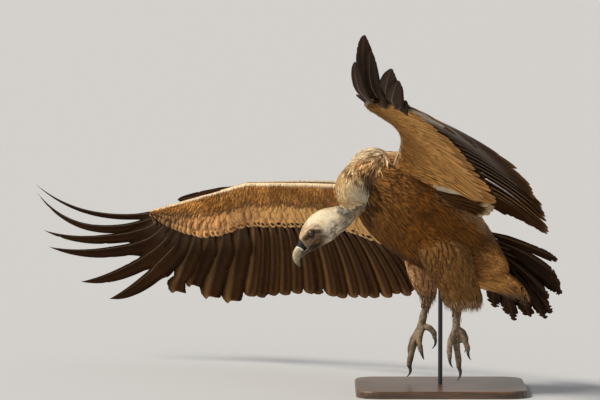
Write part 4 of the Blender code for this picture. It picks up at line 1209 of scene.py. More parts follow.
def scutes(places, count):
    """Overlapping scales along a toe or shank, with a swelling over each joint."""
    saw = (places * count) % 1
    return 1 + 0.055 * (smooth(saw, 0, 0.25) - saw) + 0.05 * np.cos(places * 3 * 2 * math.pi)


def foot_solids(side):
    """The shank and toes as rings of tubes."""
    line = [(point, SHANK_RADIUS * (1.10 if point == SHANKS[side][-1] else 0.94)) for point in SHANKS[side]]
    yield tube_rings(line, 0, SHANK_HINT, 140, lambda places: scutes(places, 20))
    for toe, points in TOES[side].items():
        line = [(point, TOE_RADIUS[toe] * taper) for point, taper in zip(points, TOE_TAPER)]
        count = 18 if toe == "middle" else 13
        yield tube_rings(line, 0, TOE_HINT, 120, lambda places, count=count: scutes(places, count))


def flesh_solids():
    """(region, rings) of every solid of flesh, each inside its CAD node by the coat's depth."""
    yield "trunk", trunk_rings(COAT_DEPTH["trunk"])
    yield "ruff", tube_rings(RUFF_LINE, COAT_DEPTH["ruff"], NECK_HINT)
    yield "neck", tube_rings(NECK_LINE, COAT_DEPTH["neck"], NECK_HINT)
    forward, _, up = HEAD_AXES
    ahead, top, bottom, half_width = HEAD_SECTIONS[1]
    nape = np.array(HEAD_ORIGIN) + forward * ahead + up * (top + bottom) / 2
    link = [NECK_LINE[1], NECK_LINE[2], (tuple(nape), (half_width + (top - bottom) / 2) / 2 - 0.002)]
    yield "neck", tube_rings(link, COAT_DEPTH["neck"], NECK_HINT)
    yield "head", head_solid(COAT_DEPTH["head"])
    yield "undertail", undertail_rings(COAT_DEPTH["undertail"])
    for side in SIDES:
        yield "thigh", thigh_rings(side, COAT_DEPTH["thigh"])
        yield "arm", wing_rings(side, COAT_DEPTH["arm"], 0.0, 1.0, 60)
        yield "hand", wing_rings(side, COAT_DEPTH["hand"], 0.97, 1.86, 50)
        for rings in foot_solids(side):
            yield "foot", rings


# ---- the skin -------------------------------------------------------------------------------------

SCATTER_TRIES = 4                   # places tried for each square of the spacing
SCATTER_PACKING = 0.86              # the least distance, as a share of the spacing


class Skin:
    """The one skin: its mesh, a search tree over it and what region each of its parts is."""

    def __init__(self):
        points, triangles, regions = [], [], []
        count = 0
        for region, rings in flesh_solids():
            solid, faces = shut(rings)
            points.append(solid)
            triangles.append(faces + count)
            regions += [REGIONS.index(region)] * len(faces)
            count += len(solid)
        points, triangles = np.concatenate(points), np.concatenate(triangles)
        self.source = BVHTree.FromPolygons(points.tolist(), triangles.tolist())
        self.source_regions = np.array(regions)
        self.mesh = self.refine(self.remesh(points, triangles))
        self.settle()
        self.corners = triangles_of(self.mesh)
        self.points, self.normals = read_points(self.mesh, "co"), read_points(self.mesh, "normal")
        self.tree = BVHTree.FromPolygons(self.points.tolist(), self.corners.tolist())
        self.face_regions = self.regions[self.corners[:, 0]]

    def remesh(self, points, triangles):
        """One closed mesh round all the solids."""
        mesh = mesh_from("flesh", points, triangles.ravel(), np.full(len(triangles), 3))
        obj = new_object("flesh", mesh)
        remesh = obj.modifiers.new("Remesh", "REMESH")
        remesh.mode = "VOXEL"
        remesh.voxel_size = VOXEL
        soften = obj.modifiers.new("Smooth", "SMOOTH")
        soften.iterations = 5
        graph = bpy.context.evaluated_depsgraph_get()
        joined = bpy.data.meshes.new_from_object(obj.evaluated_get(graph))
        bpy.data.objects.remove(obj)
        return joined

    def refine(self, mesh):
        """Finer faces on the head and feet, and finest round the eyes and gape."""
        for level in range(3):
            work = bmesh.new()
            work.from_mesh(mesh)
            points = np.array([vert.co[:] for vert in work.verts])
            ahead, left, up = head_place(points).T
            head = (ahead > -0.095) & (ahead < 0.07) & (np.abs(up) < 0.08) & (np.abs(left) < 0.06)
            face = head & (ahead > -0.030) & (up > -0.050) & (up < 0.024)
            foot = points[:, 2] < 0.232
            near = (head | foot, face | (foot & (points[:, 2] < 0.19)), face & (ahead > -0.018))[level]
            edges = [edge for edge in work.edges if near[edge.verts[0].index] and near[edge.verts[1].index]]
            bmesh.ops.subdivide_edges(work, edges=edges, cuts=1, use_grid_fill=True)
            work.to_mesh(mesh)
            work.free()
        return mesh

    def settle(self):
        """Draws the head and feet onto their smooth solids, and notes each point's region."""
        points = read_points(self.mesh, "co")
        ahead = head_place(points)[:, 0]
        self.regions = np.zeros(len(points), int)
        on_head = smooth(ahead, -0.085, -0.060) * (points[:, 0] < -0.24)
        pull = np.maximum(on_head, 1 - smooth(points[:, 2], 0.19, 0.22))
        for index, point in enumerate(points):
            place, _, face, _ = self.source.find_nearest(point)
            self.regions[index] = self.source_regions[face]
            if pull[index] > 0:
                points[index] += (np.array(place) - point) * pull[index]
        self.mesh.vertices.foreach_set("co", points.astype(np.float32).ravel())
        self.mesh.update()
        self.mesh.shade_smooth()

    def nearest(self, points):
        """The nearest places on the skin and the directions out of it there."""
        found = [self.tree.find_nearest(point) for point in points]
        places = np.array([item[0][:] for item in found])
        faces = np.array([item[2] for item in found])
        return places, self.normals_at(faces)

    def normals_at(self, faces):
        return unit(self.normals[self.corners[faces]].mean(1))

    def scatter(self, region, spacing, keep=None):
        """Places on a region, no two of them closer than the spacing, with their normals."""
        corners = self.points[self.corners]
        middle = corners.mean(1)
        chosen = self.face_regions == REGIONS.index(region)
        if keep is not None:
            chosen &= keep(middle)
        faces = np.flatnonzero(chosen)
        edges = corners[faces, 1:] - corners[faces, :1]
        area = np.linalg.norm(np.cross(edges[:, 0], edges[:, 1]), axis=1) / 2
        gap = spacing(middle[faces]) if callable(spacing) else np.full(len(faces), spacing)
        weight = area / gap**2
        tries = int(weight.sum() * SCATTER_TRIES)
        picked = random.choice(len(faces), tries, p=weight / weight.sum())
        first, second = random.random((2, len(picked)))
        turn = first + second > 1
        first[turn], second[turn] = 1 - first[turn], 1 - second[turn]
        chosen = corners[faces[picked]]
        places = chosen[:, 0] + (edges[picked] * np.stack([first, second], 1)[..., None]).sum(1)
        alive = apart(places, gap[picked] * SCATTER_PACKING)
        return places[alive], self.normals_at(faces[picked])[alive]

    def build(self, material):
        """The finished piece, in the colours of each region."""
        tints = np.zeros((len(self.points), 3))
        for index, region in enumerate(REGIONS):
            here = self.regions == index
            if here.any():
                tints[here] = region_colour(region, self.points[here])
        self.mesh.materials.clear()
        obj = new_object("skin", self.mesh, material)
        set_colour(self.mesh, "tint", tints)
        nodes = [name for names in FLESH.values() for name in names]
        return finish_piece(obj, "body_plumage", *nodes)


def apart(places, reach):
    """Which places stay when each one clears the later ones within its reach."""
    tree = KDTree(len(places))
    for index, place in enumerate(places):
        tree.insert(place, index)
    tree.balance()
    alive = np.ones(len(places), bool)
    for index, place in enumerate(places):
        if alive[index]:
            for _, other, _ in tree.find_range(place, reach[index]):
                if other > index:
                    alive[other] = False
    return alive


def region_colour(region, points):
    """The marking of any part of the bird but its wings' coverts, at those points."""
    rules = {
        "trunk": trunk_colour, "ruff": ruff_colour, "neck": neck_colour, "head": head_colour,
        "undertail": undertail_colour, "thigh": thigh_colour, "foot": foot_colour,
    }
    if region in rules:
        return rules[region](points)
    return mix((0.20, 0.115, 0.055), (0.12, 0.068, 0.034), noise(points, 0.03, 13))


# ---- the lie of the coat --------------------------------------------------------------------------

def over_trunk(points):
    """Along the body, and down from the breast towards the thighs."""
    ahead, _, up = trunk_place(points).T
    droop = smooth(-up, 0.02, 0.10) * smooth(ahead, -0.02, 0.10)
    return unit(-unit(FACING) + np.array((0.10, 0.0, -0.35)) * droop[:, None])


RUFF_CENTRE = (-0.225, -0.090, 0.575)
RUFF_SOURCE = (0.70, 0.20, 0.68)    # the down parts here, where the ruff meets the back
RUFF_SINK = (0.62, -0.20, -0.76)    # and gathers here, behind the neck


def over_ruff(points):
    """Over the top from the back, down the front, and in behind the neck."""
    out = unit(points - np.array(RUFF_CENTRE))
    source, sink = unit(np.array(RUFF_SOURCE)), unit(np.array(RUFF_SINK))
    from_source = flatten(np.broadcast_to(source, out.shape), out) / (1.08 - out @ source)[:, None]
    to_sink = flatten(np.broadcast_to(sink, out.shape), out) / (1.08 - out @ sink)[:, None]
    return unit(to_sink - from_source)


def over_neck(points):
    return np.broadcast_to(unit((0.25, 0.0, 0.95)), points.shape)


def over_head(points):
    """Back from the bill, and a little down over the cheeks."""
    _, _, up = head_place(points).T
    forward, _, upward = HEAD_AXES
    fall = smooth(-up, -0.01, 0.03) * 0.35
    return unit(-forward - upward * fall[:, None])


def over_thigh(points):
    return np.broadcast_to(unit((0.28, 0.0, -0.95)), points.shape)


def over_undertail(points):
    return np.broadcast_to(unit((0.78, 0.26, -0.56)), points.shape)


def round_map(points, origin, forward, hint, reach):
    """Places on an unwrap of a rounded part: round its axis, and along it."""
    forward, side, up = frame_axes(forward, hint)
    local = (points - np.array(origin)) @ np.stack([forward, side, up], axis=1)
    turn = np.arctan2(local[:, 1], local[:, 2]) / (2 * math.pi) + 0.5
    onward = (local[:, 0] - reach[0]) / (reach[1] - reach[0])
    margin = BAKE_PATCH
    return np.clip(np.stack([turn, onward], axis=1), margin, 1 - margin)


def grow(coat, skin, roots, normals, way, length, half, lift, tint, marks, root_map,
         rows=5, shape=lance, swerve=0.12, free=0.0, fall=0.0, crown=0.12, bury=0.0015, roll=0.05):
    """Feathers that leave the skin at their roots and follow it along the lie of the coat.

    lift is how far each tip stands off the skin. free is the share by which a feather leaves the
    skin's curve for a straight line, and fall how far its tip then hangs.
    """
    count = len(roots)
    turn = random.normal(0, swerve, count)[:, None]
    length = np.broadcast_to(length, count)[:, None]
    half = np.broadcast_to(half, count)[:, None]
    steps = steps_of(shape, rows)
    place, normal = roots, normals
    spots, ups, headings = [roots], [normals], []
    for row in range(rows):
        ahead = flatten(way(place), normal)
        ahead = unit(ahead * np.cos(turn) + np.cross(normal, ahead) * np.sin(turn))
        headings.append(ahead)
        place, normal = skin.nearest(place + ahead * length * (steps[row + 1] - steps[row]))
        spots.append(place)
        ups.append(normal)
    headings.append(headings[-1])
    spots, ups, headings = (np.stack(item, axis=1) for item in (spots, ups, headings))
    straight = roots[:, None] + headings[:, :1] * (length * steps)[..., None]
    straight[..., 2] -= fall * length * steps**2
    free = np.broadcast_to(free, count)[:, None, None] * steps[None, :, None] ** 1.5
    line = spots * (1 - free) + straight * free
    rise = np.broadcast_to(lift, count)[:, None] * steps**0.7 * (1 + 0.08 * random.normal(0, 1, (count, 1)))
    line = line + ups * (rise - bury * (1 - steps))[..., None]
    ahead = unit(np.gradient(line, axis=1))
    lifted = flatten(ups, ahead)
    roll = random.normal(0, roll, (count, 1, 1))
    side = np.cross(ahead, lifted)
    side, lifted = side * np.cos(roll) + lifted * np.sin(roll), lifted * np.cos(roll) - side * np.sin(roll)
    width = half * shape(steps[:rows])[None]
    plant(coat, line, side, lifted, width, width * crown, tint, marks, root_map, steps=steps)


def fade(tint, root_share, tip_share, rows):
    """The tint along each feather, from a share of itself at the root to another at the tip; the darker root
    is painted shade under the feathers that lie over it.
    """
    shares = np.linspace(root_share, tip_share, rows + 1)
    return np.clip(tint[:, None] * shares[None, :, None], 0, 1)


def vary(tint, amount=0.12):
    """Each feather a little lighter or darker than its neighbours."""
    return tint * np.exp(random.normal(0, amount, (len(tint), 1)))


def cover_trunk(skin, finish):
    """Body feathers, longer and broader on the back, and looser at the shoulder."""
    roots, normals = skin.scatter("trunk", 0.0074)
    ahead, _, up = trunk_place(roots).T
    back = smooth(up, 0.0, 0.05)
    count = len(roots)
    length = (0.046 + 0.008 * back) * spread(count, 0.8, 1.2)
    half = (0.0060 + 0.0026 * back) * spread(count, 0.8, 1.2)
    marks = np.stack([0.05 + 0.40 * back, np.zeros(count), 0.30 - 0.15 * back], axis=1)
    tint = fade(vary(trunk_colour(roots), 0.10), 0.90, 1.05, 5)
    coat = Coat()
    where = round_map(roots, MIDDLE, FACING, LEFTWARD, (-0.25, 0.29))
    shoulder = smooth(ahead, 0.12, 0.17) * smooth(up, 0.070, 0.095)
    half = half * (1 - 0.5 * shoulder)
    lift = 0.0026 + 0.0010 * back + 0.0040 * shoulder
    grow(
        coat, skin, roots, normals, over_trunk, length, half, lift, tint, marks, where, fall=0.1,
        free=0.05 + 0.3 * shoulder, crown=0.07, roll=0.03,
    )
    coat.build("coat_trunk", finish, "body_plumage")


# spacing, length, half width, lift and looseness of each layer of the ruff's down
RUFF_LAYERS = (
    (0.0056, 0.030, 0.0046, 0.0034, 0.03),
    (0.0050, 0.030, 0.0012, 0.0052, 0.10),
    (0.0080, 0.040, 0.0009, 0.0085, 0.32),
)
WISPS = (0.0050, 0.052, 0.0010, 0.014, 0.95)


def cover_ruff(skin, finish):
    """Broad soft feathers under loose down, and wisps that stand off at the lower edge."""
    coat = Coat()
    for layer in (*RUFF_LAYERS, WISPS):
        spacing, long, wide, lift, loose = layer
        keep = None if layer is not WISPS else lambda at: (at[:, 0] > -0.225) & (at[:, 2] < 0.560)
        roots, normals = skin.scatter("ruff", spacing, keep)
        count = len(roots)
        broad = layer is RUFF_LAYERS[0]
        tint = fade(vary(ruff_colour(roots), 0.10 if broad else 0.20), 0.90, 1.12, 5)
        where = round_map(roots, RUFF_LINE[3][0], (0.1, 0.05, 1), (0, -1, 0), (-0.08, 0.08))
        low = smooth(-roots[:, 2], -0.575, -0.53)
        length = long * spread(count, 0.7, 1.2) * (1 - 0.45 * low)
        grow(
            coat, skin, roots, normals, over_ruff, length, wide * spread(count, 0.7, 1.3), lift, tint,
            (0.0, 0, 0), where, shape=lance if broad else strand, swerve=0.20, free=loose, fall=0.12,
            crown=0.06 if broad else 0.25,
        )
    coat.build("coat_ruff", finish, "ruff_down")


def cover_head(skin, finish):
    """Short close down, shortest and sparsest on the face, standing a little at the nape."""
    def gap(places):
        ahead, _, up = head_place(places).T
        bare = oval(ahead, up, (0.006, -0.018), (0.040, 0.022), 12)
        return 0.00185 + 0.0012 * bare

    roots, normals = skin.scatter("head", gap)
    ahead, left, up = head_place(roots).T
    eye = (eye_distance(ahead, up) < 1.25) & (np.abs(left) > 0.012)
    gape = oval(ahead, up, GAPE, (0.022, 0.0045), GAPE_TURN) > 0.4
    keep = ~eye & (ahead < 0.0335) & ~gape
    roots, normals, ahead, up = roots[keep], normals[keep], ahead[keep], up[keep]
    count = len(roots)
    bare = oval(ahead, up, (0.006, -0.014), (0.046, 0.032), 10)
    nape = smooth(-ahead, 0.050, 0.090)
    length = (0.0066 - 0.0038 * bare + 0.0035 * nape) * spread(count, 0.75, 1.25)
    half = (0.00058 - 0.00030 * bare) * spread(count, 0.8, 1.2)
    lift = 0.0009 - 0.0006 * bare + 0.0012 * nape
    tint = fade(vary(head_colour(roots), 0.06), 0.96, 1.05, 3)
    coat = Coat()
    where = round_map(roots, HEAD_ORIGIN, HEAD_FACING, HEAD_LEFTWARD, (-0.11, 0.04))
    grow(
        coat, skin, roots, normals, over_head, length, half, lift, tint, (0.0, 0, 0), where,
        rows=3, shape=strand, swerve=0.20, crown=0.4, bury=0.0004,
    )
    coat.build("coat_head", finish, "pale_down")


def cover_neck(skin, finish):
    """Thin short down, longer on the throat."""
    roots, normals = skin.scatter("neck", 0.0034)
    count = len(roots)
    _, _, up = head_place(roots).T
    downy = smooth(-up, 0.010, 0.035)
    length = (0.0045 + 0.0055 * downy) * spread(count, 0.7, 1.3)
    tint = fade(vary(neck_colour(roots), 0.15), 0.8, 1.15, 4)
    coat = Coat()
    where = round_map(roots, NECK_LINE[1][0], (0.1, 0.05, 1), (0, -1, 0), (-0.07, 0.05))
    grow(
        coat, skin, roots, normals, over_neck, length, 0.0005 + 0.0006 * downy, 0.0018, tint, (0, 0, 0),
        where, rows=4, shape=strand, swerve=0.35, crown=0.5, bury=0.0006,
    )
    coat.build("coat_neck", finish, "pale_down")


def cover_thighs(skin, finish):
    """Soft broad feathers over loose down, with a ragged hem above the shanks."""
    coat = Coat()

    def lay(spacing, keep, length, half, lift, tone, marks, **ways):
        roots, normals = skin.scatter("thigh", spacing, keep)
        count = len(roots)
        share = 1 - 0.35 * (1 - smooth(roots[:, 2], 0.235, 0.290))
        where = round_map(roots, (0.0, 0.0, 0.34), (0.1, 0, -1), (0, -1, 0), (-0.13, 0.13))
        tint = tone(thigh_colour(roots))
        grow(
            coat, skin, roots, normals, over_thigh, length * share * spread(count, 0.75, 1.2),
            half * share * spread(count, 0.75, 1.2), lift, tint, marks, where, **ways,
        )

    lay(
        0.0086, None, 0.054, 0.0110, 0.0040, lambda tint: fade(vary(tint, 0.12), 0.97, 1.05, 6),
        (0.30, 0, 0.12), rows=6, swerve=0.24, free=0.05, roll=0.02, crown=0.10,
    )
    lay(
        0.0080, None, 0.030, 0.0010, 0.0055, lambda tint: fade(vary(tint, 0.20), 0.95, 1.25, 5),
        (0.2, 0, 0), shape=strand, swerve=0.35, free=0.25, fall=0.1, crown=0.4,
    )
    lay(
        0.0044, lambda places: places[:, 2] < 0.270, 0.026, 0.0013, 0.0060,
        lambda tint: fade(vary(mix(tint, CREAM, 0.30), 0.2), 0.8, 1.25, 5),
        (0.3, 0, 0), shape=strand, swerve=0.30, free=1.0, fall=0.35, crown=0.5,
    )
    coat.build("coat_thighs", finish, "body_plumage")


def cover_undertail(skin, finish):
    """Long soft feathers under loose down."""
    coat = Coat()

    def lay(spacing, tone, long, least, most, half, **ways):
        roots, normals = skin.scatter("undertail", spacing)
        count = len(roots)
        tint = tone(undertail_colour(roots))
        where = round_map(roots, UNDERTAIL_LINE[2][0], (0.167, 0.063, -0.109), (0, -1, 0), (-0.13, 0.12))
        length = long * spread(count, least, most)
        grow(
            coat, skin, roots, normals, over_undertail, length, half(count), tint=tint, root_map=where,
            **ways,
        )

    lay(
        0.0085, lambda tint: fade(vary(tint, 0.10), 0.88, 1.10, 6), 0.080, 0.8, 1.15,
        lambda count: 0.0110 * spread(count, 0.85, 1.15), lift=0.0032, marks=(0.35, 0, 0.12), rows=6,
        swerve=0.10, free=0.15,
    )
    lay(
        0.0060, lambda tint: fade(vary(mix(tint, CREAM, 0.35), 0.15), 0.9, 1.2, 5), 0.035, 0.7, 1.3,
        lambda count: 0.0010, lift=0.0030, marks=(0, 0, 0), shape=strand, swerve=0.25, free=0.3,
        crown=0.4,
    )
    coat.build("coat_undertail", finish, "body_plumage")


# ---- wing coverts ---------------------------------------------------------------------------------

# where each row is rooted, its feathers' length, and their half width, as shares of the chord
COVERT_ROWS = (
    (0.001, 0.022, 0.009), (0.012, 0.060, 0.014), (0.030, 0.090, 0.018), (0.060, 0.120, 0.021),
    (0.086, 0.130, 0.023), (0.114, 0.140, 0.024), (0.152, 0.155, 0.026), (0.194, 0.170, 0.028),
    (0.240, 0.185, 0.031), (0.290, 0.200, 0.034), (0.344, 0.215, 0.038), (0.402, 0.235, 0.044),
    (0.466, 0.260, 0.052),
)
LEAST_COVERT = 0.0070
LEAST_COVERT_HALF = 0.0018
# the layers of greater coverts: their root on the chord, how far they run past it, and their spacing
GREATER_LAYERS = ((0.50, 0.020, 0.0125), (0.66, 0.050, 0.0150))
FAR_UNDER_CUT = 0.046               # how much shorter they are on the far wing's underside
COVERT_STEPS = 6
GREATER_STEPS = 8
ROW_SLANT = 0.30                    # how far the coverts lean towards the wing's tip


def covert_places(wing, first, last, gap_at):
    """Places along the wing that stand a gap apart, as measured on its leading edge."""
    fine = np.linspace(first, last, 1200)
    track = wing.at("leading", fine) * 0.4 + wing.at("covert", fine) * 0.6
    stride = np.linalg.norm(np.diff(track, axis=0), axis=1)
    travelled = np.concatenate([[0], np.cumsum(stride / gap_at(fine[1:]))])
    marks = np.arange(0.5, travelled[-1], 1.0) + random.uniform(-0.25, 0.25)
    return np.interp(marks + random.uniform(-0.2, 0.2, len(marks)), travelled, fine)


def chord_length(wing, places):
    """From the leading edge to the covert edge."""
    return np.linalg.norm(wing.at("covert", places) - wing.at("leading", places), axis=-1)


def lay_coverts(coat, side, face, places, root, length, half, lift, slant, tint, marks,
                shape=lance, steps=COVERT_STEPS):
    """One row of coverts on the wing's upper or lower side, following it back from their roots."""
    wing = WINGS[side]
    count = len(places)
    chord = chord_length(wing, places)
    nearby = wing.at("leading", places + 0.02) - wing.at("leading", places - 0.02)
    span = np.linalg.norm(nearby, axis=-1) / 0.04
    run = steps_of(shape, steps)[None]
    wander = random.normal(0, 0.06, (count, 1))
    chords = root[:, None] + run * (length / chord)[:, None]
    spots = places[:, None] + run * (slant + wander) * (length / np.maximum(span, 0.1))[:, None]
    inset = COAT_DEPTH["arm"] * 0.8
    line = wing.surface(spots, np.sqrt(chords), face, inset)
    normal = wing.out_of(spots, np.sqrt(np.maximum(chords, 0.002)), face)
    rise = (0.0008 + lift * run**0.8) * (1 + 0.2 * random.normal(0, 1, (count, 1)))
    line = line + normal * rise[..., None]
    ahead = unit(np.gradient(line, axis=1))
    lifted = flatten(normal, ahead)
    side_way = np.cross(ahead, lifted)
    roll = random.normal(0, 0.07, (count, 1, 1)) + 0.05
    across = side_way * np.cos(roll) + lifted * np.sin(roll)
    width = half[:, None] * shape(run[:, :-1])
    where = np.stack([np.clip(places / 2, 0, 1) * 0.96 + 0.02, np.clip(root, 0, 1) * 0.9 + 0.05], axis=1)
    plant(coat, line, across, lifted, width, width * 0.08, tint, marks, where, steps=run[0])


def covert_tint(side, face, places, roots, amount, shift=0.0):
    """The feathers' colours, as the wing has them at their roots or that share of the chord on."""
    points = WINGS[side].surface(places, np.sqrt(roots), face)
    return vary(wing_colour(side, places, roots + shift, face, points), amount)


def cover_wing(side, face, finish):
    """Marginal, lesser, median and greater coverts of one side of a wing."""
    coat = Coat()
    for row in COVERT_ROWS:
        lay_row(coat, side, face, *row)
    lay_nose(coat, side, face)
    for layer in range(len(GREATER_LAYERS)):
        lay_greater(coat, side, face, layer)
    name = f"coverts_{side}_{'upper' if face > 0 else 'under'}"
    coat.build(name, finish, "covert_plumage")


def lay_row(coat, side, face, root, length, half):
    """One of the rows between the leading edge and the greater coverts."""
    wing = WINGS[side]

    def gap(spots):
        return np.maximum(half * chord_length(wing, spots), LEAST_COVERT_HALF) * 1.15

    places = covert_places(wing, 0.0, 1.99, gap)
    count = len(places)
    chord = chord_length(wing, places)
    roots = np.clip(root + random.normal(0, min(0.010, root * 0.3), count), 0.0005, 1)
    tint = fade(covert_tint(side, face, places, roots, 0.09), 0.86, 1.08, COVERT_STEPS)
    lengths = np.maximum(length * chord, LEAST_COVERT) * spread(count, 0.85, 1.15)
    halves = np.maximum(half * chord, LEAST_COVERT_HALF) * spread(count, 0.85, 1.15)
    marks = (0.04 if face < 0 else 0.45, 0, 0.25)
    lay_coverts(coat, side, face, places, roots, lengths, halves, 0.0035, ROW_SLANT, tint, marks)


def lay_nose(coat, side, face):
    """Small feathers that lie along the leading edge itself, towards the wing's tip."""
    for _ in range(2):
        places = covert_places(WINGS[side], 0.0, 1.95, lambda spots: np.full(len(spots), 0.0045))
        count = len(places)
        roots = np.full(count, 0.0004)
        tint = fade(covert_tint(side, face, places, roots, 0.06), 0.95, 1.05, COVERT_STEPS)
        length, half = 0.0055 * spread(count, 0.7, 1.3), np.full(count, 0.0042)
        lay_coverts(coat, side, face, places, roots, length, half, 0.0012, 3.6, tint, (0.2, 0, 0))


def lay_greater(coat, side, face, layer):
    """A layer of the greater coverts, which cover the roots of the flight feathers."""
    wing = WINGS[side]
    root, past, gap = GREATER_LAYERS[layer]
    far_under = side == "right" and face < 0
    past = past - FAR_UNDER_CUT if far_under else past
    places = covert_places(wing, 0.03, 1.97, lambda spots: np.full(len(spots), gap))
    count = len(places)
    hand = smooth(places, 1.0, 1.9)
    roots = np.full(count, root) + random.normal(0, 0.012, count)
    length = chord_length(wing, places) * (1 - roots) + past * (1 - 0.35 * hand)
    length *= spread(count, 0.97, 1.03)
    tint = fade(covert_tint(side, face, places, roots, 0.10, 0.12 * layer), 0.92, 1.05, GREATER_STEPS)
    spotted = float(far_under and layer == 1) * (random.uniform(0, 1, count) < 0.85)
    spotted = spotted * (1 - smooth(places, 0.90, 1.05) * 0.3)
    dark_end = smooth(places, 1.45, 1.8)
    fringe = np.full(count, 0.50) * (1 - 0.7 * dark_end)
    marks = np.stack([fringe, spotted * (1 - dark_end), np.full(count, 0.20)], axis=1)
    half = np.full(count, gap * 0.86) * (1 - 0.35 * hand)
    lay_coverts(
        coat, side, face, places, roots, length, half, 0.0040 - 0.001 * layer, 0.0, tint, marks,
        rounded, GREATER_STEPS,
    )


# ---- flight feathers ------------------------------------------------------------------------------

FLIGHT_ROWS = 46
# a vane's section: place from its leading to its trailing edge, share of its camber, of its thickness
VANE_SECTION = (
    (-1.0, 0.0, 0.0), (-0.72, 0.50, 1.0), (-0.40, 0.82, 1.0), (-0.12, 1.0, 1.0), (0.12, 1.0, 1.0),
    (0.40, 0.82, 1.0), (0.72, 0.50, 1.0), (1.0, 0.0, 0.0), (0.62, 0.60, -1.0), (0.22, 0.93, -1.0),
    (-0.22, 0.93, -1.0), (-0.62, 0.60, -1.0),
)
VANE_MIDDLE = 4                     # the section's point whose colour the tip takes
SHAFT_SECTION = tuple(
    (math.cos(math.pi * step / 3), math.sin(math.pi * step / 3), 0.0) for step in range(6)
)
VANE_THICKNESS = 0.00035
SHAFT_RADIUS = 0.0015
NICKS = 5                           # splits in the edge of each vane


class Quills:
    """Flight feathers gathered for one wing or the tail: their lines, widths and tones."""

    def __init__(self):
        self.items = []

    def add(self, line, normal, trailward, width, share, tilt, tone, fray=(1.0, 1.0)):
        """A feather along its line from root to tip, with a width at each of its points.

        share is the leading vane's part of the width, tilt its turn about its own line, and fray
        what is left of each vane.
        """
        normal, trailward = (np.broadcast_to(way, line.shape) for way in (normal, trailward))
        lead, trail = width * share * fray[0], width * (1 - share) * fray[1]
        self.items.append((line, normal, trailward, lead, trail, tilt, tone))

    def build(self, name, finish, shaft_finish, slot, nodes):
        line, normal, trailward, lead, trail, tilt, tone = (
            np.array([item[part] for item in self.items]) for part in range(7)
        )
        count = len(line)
        steps = quill_steps()
        ahead = unit(np.gradient(line, axis=1))
        lifted = flatten(normal, ahead)
        side = flatten(flatten(trailward, ahead), lifted)
        tilt = tilt[:, None, None]
        across = side * np.cos(tilt) - lifted * np.sin(tilt)
        lifted = lifted * np.cos(tilt) + side * np.sin(tilt)
        lead, trail = lead * wear(count, 0.16), trail * wear(count, 0.24)
        camber = np.minimum(lead + trail, 0.05) * 0.055
        coat = Coat()
        plant_vanes(coat, line, across, lifted, lead, trail, camber, tone, steps)
        coat.build(name, finish, slot, *nodes)
        shafts = Coat()
        plant_shafts(shafts, line, side, lifted, camber, tone, steps)
        shafts.build(name + "_shafts", shaft_finish, slot)


def quill_steps():
    """Places along a flight feather, closer together towards its tip."""
    return 1 - (1 - np.linspace(0, 1, FLIGHT_ROWS + 1)) ** 1.35


def wear(count, depth):
    """The edge's splits and nicks, as shares of the vane's width at each row."""
    steps = quill_steps()[:-1]
    shares = np.ones((count, FLIGHT_ROWS))
    for _ in range(NICKS):
        middle = 1 - spread(count, 0.0, 0.8)[:, None] ** 1.6
        width = spread(count, 0.005, 0.015)[:, None]
        deep = 0.6 * depth * spread(count, 0.0, 1.2)[:, None] ** 2
        shares -= deep * np.exp(-(((steps - middle) / width) ** 2))
    frayed = (random.uniform(0, 1, (count, 1)) < 0.4) * smooth(steps, 0.90, 0.96) * 0.22
    rough = random.normal(0, 0.012, shares.shape) * smooth(steps, 0.5, 1.0)
    shares *= 1 + rough - frayed * random.uniform(0, 1, shares.shape)
    return np.clip(shares, 0.2, 1.1)


def strip_places(faces, ring, rows, steps):
    """How far round the vane and how far along it each corner is; the tip takes its face's middle."""
    turns, spots = [], []
    for face in faces:
        columns = [index % ring if index < rows * ring else None for index in face]
        known = [column for column in columns if column is not None]
        wraps = len(face) < ring and 0 in known and ring - 1 in known
        for index, column in zip(face, columns):
            if column is None:
                column = sum(known) / len(known) if not wraps else ring - 0.5
            elif wraps and column == 0:
                column = ring
            turns.append(column / ring)
            spots.append(steps[min(index // ring, rows)])
    return np.array(turns), np.array(spots)


def plant_vanes(coat, line, across, lifted, lead, trail, camber, tone, steps):
    """Closed vanes, each with its own strip of the OFBake map."""
    count, rows = lead.shape
    place, bow, thick = np.array(VANE_SECTION).T
    ring = len(place)
    reach = np.where(place < 0, lead[..., None], trail[..., None]) * place
    thin = VANE_THICKNESS * (1 - 0.5 * steps[:rows])[None, :, None]
    high = camber[..., None] * bow + thin * thick
    body = line[:, :rows, None] + across[:, :rows, None] * reach[..., None]
    body = body + lifted[:, :rows, None] * high[..., None]
    points = np.concatenate([body.reshape(count, rows * ring, 3), line[:, rows:]], axis=1)
    tints = vane_tints(steps, place, tone)
    tip_tints = tints[:, rows, VANE_MIDDLE, None]
    tints = np.concatenate([tints[:, :rows].reshape(count, rows * ring, 3), tip_tints], axis=1)
    faces = ring_faces(rows, ring)
    shape = np.concatenate(faces)
    turns, spots = strip_places(faces, ring, rows, steps)
    across_strips = (np.arange(count)[:, None] + 0.03 + 0.94 * turns) / count
    strip = np.stack([across_strips, np.broadcast_to(0.01 + 0.98 * spots, (count, len(spots)))], axis=-1)
    vane_across = np.append(np.tile((place + 1) / 2, rows), 0.5)
    vane = np.stack([vane_across, np.append(np.repeat(steps[:rows], ring), 1)], axis=1)
    corners = (shape[None] + np.arange(count)[:, None] * (rows * ring + 1)).ravel()
    coat.add(
        points.reshape(-1, 3), corners, np.tile([len(face) for face in faces], count),
        np.tile(vane[shape], (count, 1)), strip.reshape(-1, 2), tints.reshape(-1, 3),
        np.zeros((count * (rows * ring + 1), 3)),
    )


